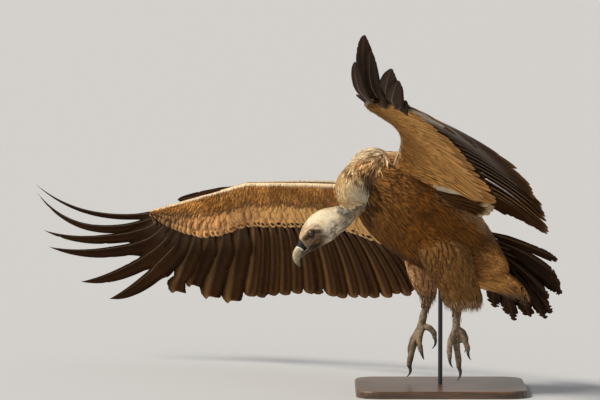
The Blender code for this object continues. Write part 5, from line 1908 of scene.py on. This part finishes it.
def plant_shafts(coat, line, side, lifted, camber, tone, steps):
    """The quills' shafts, round tubes through their vanes."""
    count = len(line)
    rows = FLIGHT_ROWS
    radius = SHAFT_RADIUS * (1 - steps[:rows]) ** 0.75 + 0.00035
    raised = line.copy()
    raised[:, :rows] += lifted[:, :rows] * camber[..., None]
    half = np.broadcast_to(radius, (count, rows))
    pale = tone[:, 1, None, None]
    dark, light = np.array((0.075, 0.042, 0.022)), np.array((0.50, 0.36, 0.21))
    glow = pale * (1 - smooth(steps, 0.35, 0.95))[None, :, None]
    tint = dark * (1 - glow) + light * glow
    where = np.stack([(np.arange(count) + 0.5) / count, np.full(count, 0.5)], axis=1)
    plant(coat, raised, side, lifted, half, half, tint, (0, 0, 0), where, section=SHAFT_SECTION,
          patch=(0.9 / count, 0.96))


# a flight feather's tones, each a share from 0 to 1
TONES = ("stripe", "shaft", "tip", "light", "bronze", "slate", "cream", "white")


def tone_of(**shares):
    """Those shares in the order of TONES, and 0 for the others."""
    return tuple(shares.get(name, 0.0) for name in TONES)


def vane_tints(steps, place, tone):
    """Colour at each row and ring point of every feather."""
    share = {name: tone[:, index, None, None] for index, name in enumerate(TONES)}
    onward, across = steps[None, :, None], place[None, None, :]
    base = np.array((0.038, 0.0150, 0.0048)) * (0.55 + 0.9 * share["light"])[..., None]
    # a tan band beside the shaft: partly the paler inner vane, partly a painted sheen of the sun on it
    band = np.exp(-(((across + 0.32) / 0.27) ** 2)) * share["stripe"] * smooth(onward, -0.2, 0.25)
    colour = mix(base, (0.560, 0.290, 0.100), band)
    colour = mix(colour, (0.150, 0.070, 0.022), smooth(across, 0.35, 1.0) * share["bronze"] * 0.55)
    colour = mix(colour, (0.250, 0.120, 0.040), smooth(onward, 0.92, 1.0) * share["tip"] * 0.8)
    colour = mix(colour, (0.150, 0.105, 0.070), (1 - smooth(onward, 0.0, 0.25)) * 0.3)
    near = 1 - smooth(onward, 0.55, 0.85)
    rim = smooth(np.abs(across), 0.70, 1.0)
    # painted sheen: the grey of the sky's reflection towards the root, with a painted highlight along the
    # vanes' rims
    colour = mix(colour, (0.125, 0.130, 0.150), near * share["slate"])
    colour = mix(colour, CREAM, rim * near * share["slate"] * 0.8)
    colour = mix(colour, (0.85, 0.66, 0.38), smooth(onward, 0.80, 0.95) * share["cream"])
    # painted light: pale along the edges of the inner part, where the sun would catch them
    edges = np.maximum(smooth(np.abs(across), 0.30, 0.60), share["cream"])
    lit = share["white"] * (1 - smooth(onward, 0.50, 0.75)) * edges
    return mix(colour, (0.85, 0.74, 0.55), lit)


def vane_profile(steps, blunt, root=0.5, rise=2.0):
    """Shares of the full width: opening from the root, and closing in a round tip from blunt on."""
    tip = np.sqrt(np.maximum(1 - (np.maximum(steps - blunt, 0) / (1 - blunt)) ** 2.2, 0.0))
    return (tip * np.minimum(root + steps * rise, 1))[:-1]


def arc(start, end, push, steps):
    """Points of the arc that leaves the straight line by push at its middle."""
    steps = steps[:, None]
    return start + (end - start) * steps + push * 4 * steps * (1 - steps)


def hand_normal(side):
    """The direction out of the hand's upper side."""
    wrist = np.array(HAND_LEADING[side][0])
    outward = np.array(PRIMARY_TIPS[side][-1]) - wrist
    sign = 1 if side == "left" else -1
    return sign * unit(np.cross(outward, np.array(PRIMARY_TIPS[side][0]) - wrist))


LAST_SECONDARY = 0.99               # the place on the arm where the last one ends


def add_secondaries(quills, side):
    """The arm's flight feathers, from the body to the wrist."""
    wing = WINGS[side]
    steps = quill_steps()
    first, lag = FIRST_SECONDARY[side], SECONDARY_LAG[side]
    count = SECONDARIES + 1
    stride = (LAST_SECONDARY - first) / count
    for number in range(count):
        place = first + stride * (number + 0.5)
        near = place + stride * np.array((-0.5, 0.5))
        rooted = place * (1 - lag) + lag
        root, tip = rib_line(side, 1, rooted), rib_line(side, 2, place)
        roots, tips = rib_line(side, 1, near * (1 - lag) + lag), rib_line(side, 2, near)
        normal = wing.at("normal", place)
        start = root + (wing.at("leading", rooted) - root) * 0.10
        sideways = unit(tips[1] - tips[0])
        tip = tip + unit(tip - root) * random.uniform(-0.008, 0.007) + sideways * random.normal(0, 0.004)
        if side == "left":
            beside = number - SPLIT_SECONDARY + 0.5
            tip = tip + sideways * SPLIT_WIDTH * np.sign(beside) * math.exp(-abs(beside) / 2.5)
        line = arc(start, tip, normal * SECONDARY_ARCH * np.linalg.norm(tip - start), steps)
        root_gap, tip_gap = (np.linalg.norm(ends[1] - ends[0]) for ends in (roots, tips))
        width = np.maximum(root_gap * (1 - steps) + tip_gap * steps, 0.024) * 1.62
        width = width[:-1] * vane_profile(steps, 0.90, rise=2.5)
        # the near wing's outer secondaries carry the painted sheen of the sky
        outer = smooth(place, 0.45, 0.75) if side == "left" else 0.0
        tone = tone_of(
            stripe=random.uniform(0.55, 1.0), shaft=0.3, tip=random.uniform(0.4, 1.0), slate=outer * 0.55,
            light=random.uniform(0.2, 1.0), bronze=random.uniform(0.3, 1.0),
        )
        quills.add(line, normal, roots[0] - roots[1], width, share=0.40, tilt=0.075, tone=tone)


def finger_parts(side, number):
    """A far finger's root, where it leaves the closed hand, its tip, the gap there, and that share."""
    base = along(HAND_COVERT[side], primary_share(number))
    inner, outer = (np.array(NOTCHES[side][number - FIRST_FINGER + step]) for step in range(2))
    middle = (inner + outer) / 2
    tip = np.array(PRIMARY_TIPS[side][number - 1])
    closed, opened = np.linalg.norm(middle - base), np.linalg.norm(tip - middle)
    return base, middle, tip, np.linalg.norm(outer - inner), closed / (closed + opened)


def inner_line(side, number, steps):
    """The line of a primary of the closed fan."""
    base = along(HAND_COVERT[side], primary_share(number))
    tip = np.array(PRIMARY_TIPS[side][number - 1]) + INNER_TIP_SHIFT[side].get(number, (0, 0, 0))
    return arc(base, tip, hand_normal(side) * PRIMARY_ARCH * np.linalg.norm(tip - base), steps)


def finger_line(side, number, steps):
    """A finger's line: the far wing's runs over the closed fan to the notches, then stands free."""
    normal = hand_normal(side)
    lift = normal * FINGER_STACK * FINGER_LAYERS[side][number]
    if side == "left":
        root, tip = (np.array(point) for point in LEFT_FINGERS[number])
        return arc(root, tip + lift * 0.5, -normal * LEFT_FINGER_SAG, steps)
    base, middle, tip, _, share = finger_parts(side, number)
    bow = normal * PRIMARY_ARCH * np.linalg.norm(middle - base)
    closed = arc(base, middle + lift, bow, np.clip(steps / share, 0, 1))
    sag = -unit(normal + (0, 0, 1.2)) * RIGHT_FINGER_SAG[number]
    opened = arc(middle + lift, tip + lift, sag, np.clip((steps - share) / (1 - share), 0, 1))
    line = np.where((steps < share)[:, None], closed, opened)
    for _ in range(FINGER_SMOOTHING):
        line[1:-1] = (line[:-2] + 2 * line[1:-1] + line[2:]) / 4
    return line


def inner_width(side, number, trailward, steps):
    """The full width along a primary of the closed fan, and its leading vane's share."""
    tips = [PRIMARY_TIPS[side][max(number - 2, 0)], PRIMARY_TIPS[side][number]]
    gap = np.linalg.norm(np.subtract(*tips)) / (2 if number > 1 else 1)
    wide = min(gap, 0.046 if side == "right" else 0.062)
    width = (np.linalg.norm(trailward) * (1 - steps) + wide * steps)[:-1] * 1.55
    width = width * vane_profile(steps, 0.88, rise=2.5)
    if side == "right" and number > 2:
        width *= 1 - 0.36 * np.exp(-(((steps[:-1] - 0.76) / 0.10) ** 2)) * (number - 2) / 2
    return width, 0.40


def finger_width(side, number, steps):
    """The full width along a finger, and its leading vane's share."""
    point, rounding = FINGER_POINT[side]
    full = FINGER_WIDTH[side][number]
    if side == "left":
        width = full * (0.75 + 0.25 * smooth(steps, 0.0, 0.35))
        taper = np.maximum(1 - steps**point, 0) ** rounding
        return (width * taper)[:-1], 0.34
    _, _, _, gap, share = finger_parts(side, number)
    closed = min(max(gap, 0.022), 0.032) * 1.5 * (1 if number < 9 else 0.6)
    closed = closed * smooth(steps, -0.3, share * 0.8) + 0.012
    part = np.clip((steps - share) / (1 - share), 0, 1)
    width = closed + (full - closed) * smooth(part, 0.0, 0.16)
    taper = np.maximum(1 - part**point, 0) ** rounding
    return (width * taper)[:-1], 0.17


def primary_tone(side, number):
    """A primary's tones: the fingers are plain and dark, the near hand's inner ones with a painted sheen of
    the sky and painted light along their edges.
    """
    inner = number < FIRST_FINGER
    lit = inner and side == "left"
    return tone_of(
        stripe=0.28 if inner else 0.06, shaft=0.30 if side == "left" else 0.10, tip=0.6 if inner else 0.0,
        slate=0.7 if lit else 0.0, light=random.uniform(0.0, 0.4), bronze=random.uniform(0.1, 0.5),
        white=0.55 if lit and number > 1 else 0.0,
    )


def add_primaries(quills, side):
    """The hand's flight feathers, the outer ones standing apart as fingers."""
    steps = quill_steps()
    for number in range(1, PRIMARIES + 1):
        bases = along(HAND_COVERT[side], primary_share([number - 0.5, number + 0.5]))
        trailward = bases[0] - bases[1]
        if number < FIRST_FINGER:
            line = inner_line(side, number, steps)
            width, share = inner_width(side, number, trailward, steps)
        else:
            line = finger_line(side, number, steps)
            width, share = finger_width(side, number, steps)
            trailward = np.array((1.0, -0.1, 0.0)) if side == "left" else trailward
        line[0] += unit(line[0] - line[1]) * 0.012
        tone = primary_tone(side, number)
        shift = unit(trailward) * ((0.5 - share) * width[:, None])
        line[:-1] -= shift * smooth(steps[:-1], 0.1, 0.5)[:, None]
        quills.add(line, hand_normal(side), trailward, width, share, tilt=0.06, tone=tone)


# the length of each as a share of the first, and how far it lies behind the first
ALULA_FEATHERS = ((1.0, 0.0), (0.80, 0.004), (0.60, 0.008))


def add_alula(quills, side):
    """The three feathers of the thumb, which leave the leading edge's coverts."""
    root, tip = (np.array(point) for point in ALULA[side])
    normal = hand_normal(side)
    steps = quill_steps()
    trailward = np.cross(tip - root, normal)
    covert = np.array(HAND_COVERT[side][0]) - np.array(HAND_LEADING[side][0])
    trailward = unit(trailward * np.sign(np.dot(trailward, covert)))
    width = ALULA_WIDTH[side] * vane_profile(steps, 0.45)
    tone = tone_of(shaft=0.1, light=0.3)
    for order, (reach, shift) in enumerate(ALULA_FEATHERS):
        start = root - (tip - root) * 0.30 + trailward * (0.014 + shift) + normal * 0.002 * (2 - order)
        end = start + (tip + trailward * (0.004 + shift) - start) * reach
        line = arc(start, end, -normal * 0.003, steps)
        quills.add(line, normal, trailward, width, share=0.4, tilt=0.05, tone=tone)


# root and tip of the first and last of the long feathers between the near wing and the body
TERTIALS = (
    ((-0.020, -0.118, 0.566), (0.112, -0.128, 0.541)),
    ((0.018, -0.112, 0.530), (0.118, -0.108, 0.490)),
)
TERTIAL_COUNT = 9
TERTIAL_NORMAL = (0.1, -0.85, 0.5)
TERTIAL_BACK = (0.0, 0.3, -1.0)


def add_tertials(quills):
    """Long dark feathers with cream tips behind the near shoulder, the upper ones with painted sunlight on
    them.
    """
    steps = quill_steps()
    roots, tips = (np.array([pair[part] for pair in TERTIALS]) for part in range(2))
    width = 0.024 * vane_profile(steps, 0.80)
    for number in range(TERTIAL_COUNT):
        share = number / (TERTIAL_COUNT - 1)
        start = roots[0] + (roots[1] - roots[0]) * share + random.normal(0, 0.002, 3)
        end = tips[0] + (tips[1] - tips[0]) * share + random.normal(0, 0.003, 3)
        end = end + unit(end - start) * 0.030 * math.sin(math.pi * share)
        line = arc(start, end, np.array((0, -0.006, 0.004)), steps)
        tone = tone_of(
            stripe=0.9, shaft=0.3, light=random.uniform(0.5, 1.2), bronze=1.0,
            cream=0.9 if number > 2 else 1.0, white=0.95 if number < 2 else 0.0,
        )
        quills.add(line, TERTIAL_NORMAL, TERTIAL_BACK, width, share=0.45, tilt=0.10, tone=tone)


def tail_axes():
    """The direction out of the tail's upper side, and the one across its fan."""
    root, first, last = (np.array(point) for point in (TAIL_ROOT, TAIL_TIPS[0], TAIL_TIPS[-1]))
    return unit(np.cross(first - root, last - root)), unit(last - first)


def tail_line(number, steps):
    """A tail feather's line; the middle pair lies on top."""
    root, end = np.array(TAIL_ROOT), np.array(TAIL_TIPS[number])
    normal, across = tail_axes()
    order = abs(number - TAIL_MIDDLE) - 0.5
    tip = end + unit(end - root) * random.uniform(-0.010, 0.006)
    start = root + (tip - root) * 0.04 + across * (number - TAIL_MIDDLE) * 0.0042 - normal * 0.0012 * order
    start = start + np.array(TAIL_ROOT_SHIFTS.get(number, (0, 0, 0)))
    tip = tip - normal * (0.0012 * order + (0.006 if number == 0 else 0))
    bow = normal * (0.004 if number == 0 else 0.012)
    sway = np.sin(steps * math.pi)[:, None] * across * random.normal(0, 0.002)
    if number in TAIL_SHIFTS:
        return arc(start, tip + np.array(TAIL_SHIFTS[number]), bow, steps)
    return arc(start, tip, bow, steps) + sway


def tail_width(number, steps):
    """The full width along a tail feather, from the spacing of the tips beside it."""
    last = len(TAIL_TIPS) - 1
    ends = [TAIL_TIPS[max(number - 1, 0)], TAIL_TIPS[min(number + 1, last)]]
    gap = np.linalg.norm(np.subtract(*ends)) / (2 if 0 < number < last else 1)
    wide = 0.036 if number == 0 else float(np.clip(gap, 0.034, 0.048))
    width = ((0.032 if number < 3 else 0.024) * (1 - steps) + wide * steps)[:-1] * 1.28
    return width * vane_profile(steps, 0.88, root=0.45)


def add_tail(quills):
    """Twelve tail feathers, worn and frayed at their tips."""
    normal, across = tail_axes()
    steps = quill_steps()
    ragged = smooth(steps[:-1], 0.82, 0.93) * 0.72
    for number in range(len(TAIL_TIPS)):
        line = tail_line(number, steps)
        width = tail_width(number, steps)
        fray = [1 - ragged * random.uniform(0, 1, len(width)) ** 1.5 for _ in range(2)]
        trailward = across * (1 if number < TAIL_MIDDLE else -1)
        tone = tone_of(stripe=0.1, shaft=0.2, tip=0.1, light=random.uniform(0.0, 0.4))
        quills.add(line, normal, trailward, width, share=0.42, tilt=0.05, tone=tone, fray=fray)


# ---- eyes, bill and claws -------------------------------------------------------------------------

def ring_piece(name, rings, material, slot, tint, *nodes):
    """A closed piece through rings, with a tint for each of its points."""
    points, triangles = shut(rings)
    mesh = mesh_from(name, points, triangles.ravel(), np.full(len(triangles), 3))
    set_colour(mesh, "tint", tint(points))
    return finish_piece(new_object(name, mesh, material), slot, *nodes)


def make_eye(side, finish):
    """An eyeball with its iris and pupil, which looks out and a little forward."""
    forward, left, up = HEAD_AXES
    outward = left if side == "left" else -left
    centre = np.array(HEAD_ORIGIN) + outward * EYE_SIDEWAYS
    axis = unit(outward + forward * 0.10)
    across = unit(np.cross(axis, up))
    upward = np.cross(across, axis)
    angles = np.linspace(0.02, math.pi - 0.02, 60)
    rise, size = np.cos(angles) * EYE_RADIUS, np.sin(angles) * EYE_RADIUS
    rings = rings_at(centre + axis * rise[:, None], across, upward, size, size, size, 48)

    def colour(points):
        local = unit(points - centre)
        off = np.degrees(np.arccos(np.clip(local @ axis, -1, 1)))
        turn = np.arctan2(local @ upward, local @ across)
        iris = mix((0.115, 0.060, 0.026), (0.055, 0.028, 0.014), 0.5 + 0.5 * np.sin(turn * 23))
        iris = mix(iris, (0.022, 0.012, 0.008), smooth(off, 30, 37))
        tone = mix((0.002, 0.002, 0.002), iris, smooth(off, 17, 20))
        return mix(tone, (0.030, 0.022, 0.018), smooth(off, 39, 43))

    ring_piece("eyeball_" + side, rings, finish, "eye_gloss", colour, "eye_" + side)


def make_lids(side, finish):
    """The rim of skin round the almond-shaped opening of the eye, just off the eyeball."""
    forward, left, up = HEAD_AXES
    level = left if side == "left" else -left
    turns = np.linspace(0, 2 * math.pi, 72, endpoint=False)
    slant = math.radians(EYE_SLANT)
    x = EYE_OPENING[0] * np.sign(np.cos(turns)) * np.abs(np.cos(turns)) ** 0.9
    z = EYE_OPENING[1] * np.sin(turns) * np.where(np.sin(turns) > 0, 0.86, 1.0)
    ahead, above = x * math.cos(slant) - z * math.sin(slant), z * math.cos(slant) + x * math.sin(slant)
    depth = np.sqrt(EYE_RADIUS**2 - x**2 - z**2) + 0.0002
    front = np.array(HEAD_ORIGIN) + level * EYE_SIDEWAYS + level * depth[:, None]
    offset = forward * ahead[:, None] + up * above[:, None]
    outward = unit(offset)
    spin = np.linspace(0, 2 * math.pi, 10, endpoint=False)
    rim = outward[:, None] * np.cos(spin)[None, :, None] * 1.3 + level * np.sin(spin)[None, :, None]
    rings = (front + offset)[:, None] + rim * LID_RADIUS
    loop_piece("eyelid_" + side, rings, finish, (0.030, 0.022, 0.017))


def loop_piece(name, rings, material, tone):
    """A closed ring of flesh through rings that join end to end."""
    rows, sides = rings.shape[:2]
    low = np.arange(rows)[:, None] * sides + np.arange(sides)
    turned = np.arange(rows)[:, None] * sides + (np.arange(sides) + 1) % sides
    ahead = (low + sides) % (rows * sides)
    ahead_turned = (turned + sides) % (rows * sides)
    quads = np.stack([low, turned, ahead_turned, ahead], axis=-1).reshape(-1, 4)
    points = rings.reshape(-1, 3)
    first = points[quads[:, 0]]
    normal = np.cross(points[quads[:, 1]] - first, points[quads[:, 3]] - first)
    centre = np.repeat(rings.mean(1), sides, axis=0)
    if ((first - centre) * normal).sum() < 0:
        quads = quads[:, ::-1]
    mesh = mesh_from(name, points, quads.ravel(), np.full(len(quads), 4))
    set_colour(mesh, "tint", np.tile(tone, (len(points), 1)))
    finish_piece(new_object(name, mesh, material), "pale_down")


def bill_rings(sections, rows=70, sides=48):
    """Rings of the upper or lower bill, each turned with the bill's curve."""
    forward, left, up = HEAD_AXES
    ahead, height, half_height, half_width, turn = along(sections, np.linspace(0, 1, rows)).T
    centres = np.array(HEAD_ORIGIN) + forward * ahead[:, None] + up * height[:, None]
    angle = np.radians(turn)[:, None]
    upward = up * np.cos(angle) + forward * np.sin(angle)
    half_height, half_width = np.maximum(half_height, 0.0006), np.maximum(half_width, 0.0006)
    return rings_at(centres, left, upward, half_width, half_height, half_height, sides)


# where the black of the cere gives way to pale horn: how far ahead at each height
HORN_EDGE = ((-0.0240, 0.0436), (-0.0190, 0.0440), (-0.0100, 0.0465), (-0.0040, 0.0520))
# a painted highlight: the pale stripe along the edge of the cere, its width and its colour
STRIPE_WIDTH = 0.0026
PAINTED_HIGHLIGHT_TONE = (0.92, 0.90, 0.82)
NOSTRIL = ((0.0390, -0.0100), (0.0014, 0.0040), 18)
NOSTRIL_DEPTH = 0.0020


def cere_black(speck):
    return mix((0.008, 0.013, 0.010), (0.022, 0.028, 0.024), speck)


def past_cere(ahead, up):
    """How far a place lies ahead of the edge of the cere's black."""
    edge, place = np.array(HORN_EDGE).T
    return ahead - np.interp(up, edge, place)


def cere_colour(points):
    """Black, with the nostril's slit painted darker as shade, and the first of the painted highlight stripe.
    """
    ahead, _, up = head_place(points).T
    # painted shade: the nostril's slit darker still than the cere
    colour = mix(cere_black(noise(points, 0.003, 21)), (0.004, 0.004, 0.004), oval(ahead, up, *NOSTRIL))
    return mix(colour, PAINTED_HIGHLIGHT_TONE, smooth(past_cere(ahead, up), -0.0003, 0.0004))


def upper_bill_colour(points):
    """Horn, darker towards the hook and painted paler along its top as highlight; behind it a painted
    highlight stripe and a dark line.
    """
    ahead, _, up = head_place(points).T
    speck = noise(points, 0.006, 22)
    colour = mix((0.42, 0.345, 0.235), (0.31, 0.250, 0.165), speck)
    # painted highlight: paler along the top of the bill
    colour = mix(colour, (0.56, 0.48, 0.36), smooth(up, -0.020, -0.006) * 0.6)
    streak = noise(points * np.array((1.0, 1.0, 0.25)), 0.0028, 27)
    colour = mix(colour, (0.13, 0.095, 0.055), smooth(-up, 0.028, 0.044) * (0.45 + 0.5 * streak))
    past = past_cere(ahead, up)
    colour = mix((0.10, 0.085, 0.060), colour, smooth(past, STRIPE_WIDTH + 0.0006, STRIPE_WIDTH + 0.0018))
    colour = mix(PAINTED_HIGHLIGHT_TONE, colour, smooth(past, STRIPE_WIDTH - 0.0006, STRIPE_WIDTH))
    return mix(cere_black(speck), colour, smooth(past, -0.0003, 0.0004))


def lower_bill_colour(points):
    ahead, _, _ = head_place(points).T
    colour = mix((0.050, 0.034, 0.023), (0.110, 0.078, 0.054), noise(points, 0.004, 23))
    return mix(colour, (0.20, 0.19, 0.14), smooth(ahead, 0.050, 0.066))


def make_bill(horn, cere_finish):
    """The cere with its nostrils, and the two halves of the bill."""
    rings = section_rings(CERE_SECTIONS, 0.0, 40, 64)
    ahead, left, up = head_place(rings).transpose(2, 0, 1)
    dent = oval(ahead, up, *NOSTRIL) * NOSTRIL_DEPTH
    _, leftward, _ = HEAD_AXES
    rings = rings - leftward * (dent * np.sign(left))[..., None]
    ring_piece("bill_cere", rings, cere_finish, "cere_skin", cere_colour, "cere")
    upper, lower = bill_rings(BILL_SECTIONS), bill_rings(LOWER_BILL_SECTIONS)
    ring_piece("bill_hook", upper, horn, "horn_bill", upper_bill_colour, "bill_upper")
    ring_piece("bill_jaw", lower, horn, "horn_bill", lower_bill_colour, "bill_lower")


def make_claws(finish):
    """The eight hooked claws."""
    def colour(points):
        return mix((0.030, 0.027, 0.024), (0.075, 0.068, 0.058), noise(points, 0.006, 24))

    for side in SIDES:
        for toe, points in TOES[side].items():
            radius = TOE_RADIUS[toe] * CLAW_ROOT
            end = np.array(points[-1])
            onward = unit(along(points, 1.0) - along(points, 0.98))
            tip = np.array(CLAW_TIPS[side][toe])
            start = end - onward * 0.004
            chord = tip - start
            push = flatten(onward, unit(chord)) * CLAW_BOW
            steps = np.linspace(0, 1, 28)
            line = arc(start, tip, push, steps)
            ahead = unit(np.gradient(line, axis=0))
            across = flatten(np.broadcast_to(np.cross(onward, TOE_HINT), line.shape), ahead)
            size = radius * (1 - steps) ** 0.8 + 0.0004
            rings = rings_at(line, across, np.cross(across, ahead), size * 0.86, size * 1.06, size * 1.06, 24)
            ring_piece(f"talon_{side}_{toe}", rings, finish, "claw_horn", colour, f"claw_{side}_{toe}")


# ---- stage ----------------------------------------------------------------------------------------

CAMERA_AIM = (-0.38, 0.0, 0.52)
CAMERA_ELEVATION = 4.0
CAMERA_DISTANCE = 12.0
CAMERA_LENS = 266.4
SUN_AIM = (-0.3, 0.0, 0.5)
FLOOR_REACH = 200.0


def turned_along(direction):
    """The rotation of a camera or light that looks that way."""
    return Vector(direction).to_track_quat("-Z", "Y").to_euler()


def make_camera():
    data = bpy.data.cameras.new("photo_view")
    data.lens = CAMERA_LENS
    data.clip_end = 500
    camera = bpy.data.objects.new("photo_view", data)
    bpy.context.scene.collection.objects.link(camera)
    angle = math.radians(CAMERA_ELEVATION)
    direction = Vector((0, math.cos(angle), -math.sin(angle)))
    camera.location = Vector(CAMERA_AIM) - direction * CAMERA_DISTANCE
    camera.rotation_euler = turned_along(direction)
    bpy.context.scene.camera = camera


def make_sun(name, place, energy, colour, width):
    """A soft sun that shines from that place towards the bird; width is its angle in degrees."""
    data = bpy.data.lights.new(name, "SUN")
    data.energy = energy
    data.color = colour
    data.angle = math.radians(width)
    light = bpy.data.objects.new(name, data)
    bpy.context.scene.collection.objects.link(light)
    light.location = place
    light.rotation_euler = turned_along(Vector(SUN_AIM) - Vector(place))


def make_stage():
    """A pale floor, a warm key from the upper left, and soft fill."""
    size = FLOOR_REACH
    corners = [(-size, -size, 0), (size, -size, 0), (size, size, 0), (-size, size, 0)]
    floor = new_object("floor", mesh_from("floor", corners, [0, 1, 2, 3], [4]), floor_finish())
    make_sun("key", (-5, -1.0, 6), 5.0, (1.0, 0.90, 0.73), 22.0)
    make_sun("front", (-3.0, -5.0, 2.6), 0.45, (1.0, 0.93, 0.84), 60.0)
    world = bpy.data.worlds.new("studio")
    world.use_nodes = True
    background = world.node_tree.nodes["Background"]
    background.inputs["Color"].default_value = (1.0, 0.97, 0.93, 1)
    background.inputs["Strength"].default_value = 0.50
    bpy.context.scene.world = world
    bpy.context.scene.view_settings.view_transform = "Standard"


def paint_stand():
    """The stand's CAD pieces are shown as they are, in wood and black enamel."""
    for name, material in (("stand_base", wood_finish()), ("stand_rod", steel_finish())):
        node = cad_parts[name]
        for slot in node.material_slots:
            slot.material = material


def make_wing(side, contour, flight, shafts):
    """The coverts of both sides and all the flight feathers of one wing."""
    for face in (1, -1):
        cover_wing(side, face, contour)
    quills = Quills()
    add_secondaries(quills, side)
    add_primaries(quills, side)
    add_alula(quills, side)
    if side == "left":
        add_tertials(quills)
    nodes = [f"wing_{side}_{part}" for part in ("secondaries", "primary_fan", "alula")]
    nodes += [f"wing_{side}_primary_{number}" for number in range(FIRST_FINGER, PRIMARIES + 1)]
    quills.build(f"quills_{side}", flight, shafts, "flight_feather", nodes)


def make_bird():
    contour = plumage("contour_feathers")
    down = plumage("down", 0.85, 0.12, 8.0, 0.15)
    flight = vane_finish("flight_feathers")
    shafts = horn_finish("shafts", 0.45, 60.0)
    skin = Skin()
    skin_material = skin_finish()
    skin.build(skin_material)
    cover_trunk(skin, contour)
    cover_ruff(skin, down)
    cover_head(skin, down)
    cover_neck(skin, down)
    cover_thighs(skin, contour)
    cover_undertail(skin, contour)
    for side in SIDES:
        make_wing(side, contour, flight, shafts)
    tail = Quills()
    add_tail(tail)
    tail.build("quills_tail", flight, shafts, "tail_feather", ["tail_fan", "tail_outer_left"])
    gloss = eye_finish()
    for side in SIDES:
        make_eye(side, gloss)
        make_lids(side, skin_material)
    make_bill(horn_finish("horn", 0.38, 120.0), horn_finish("cere", 0.45, 260.0))
    make_claws(horn_finish("claws", 0.35, 150.0))


def main():
    make_bird()
    paint_stand()
    make_stage()
    make_camera()


main()
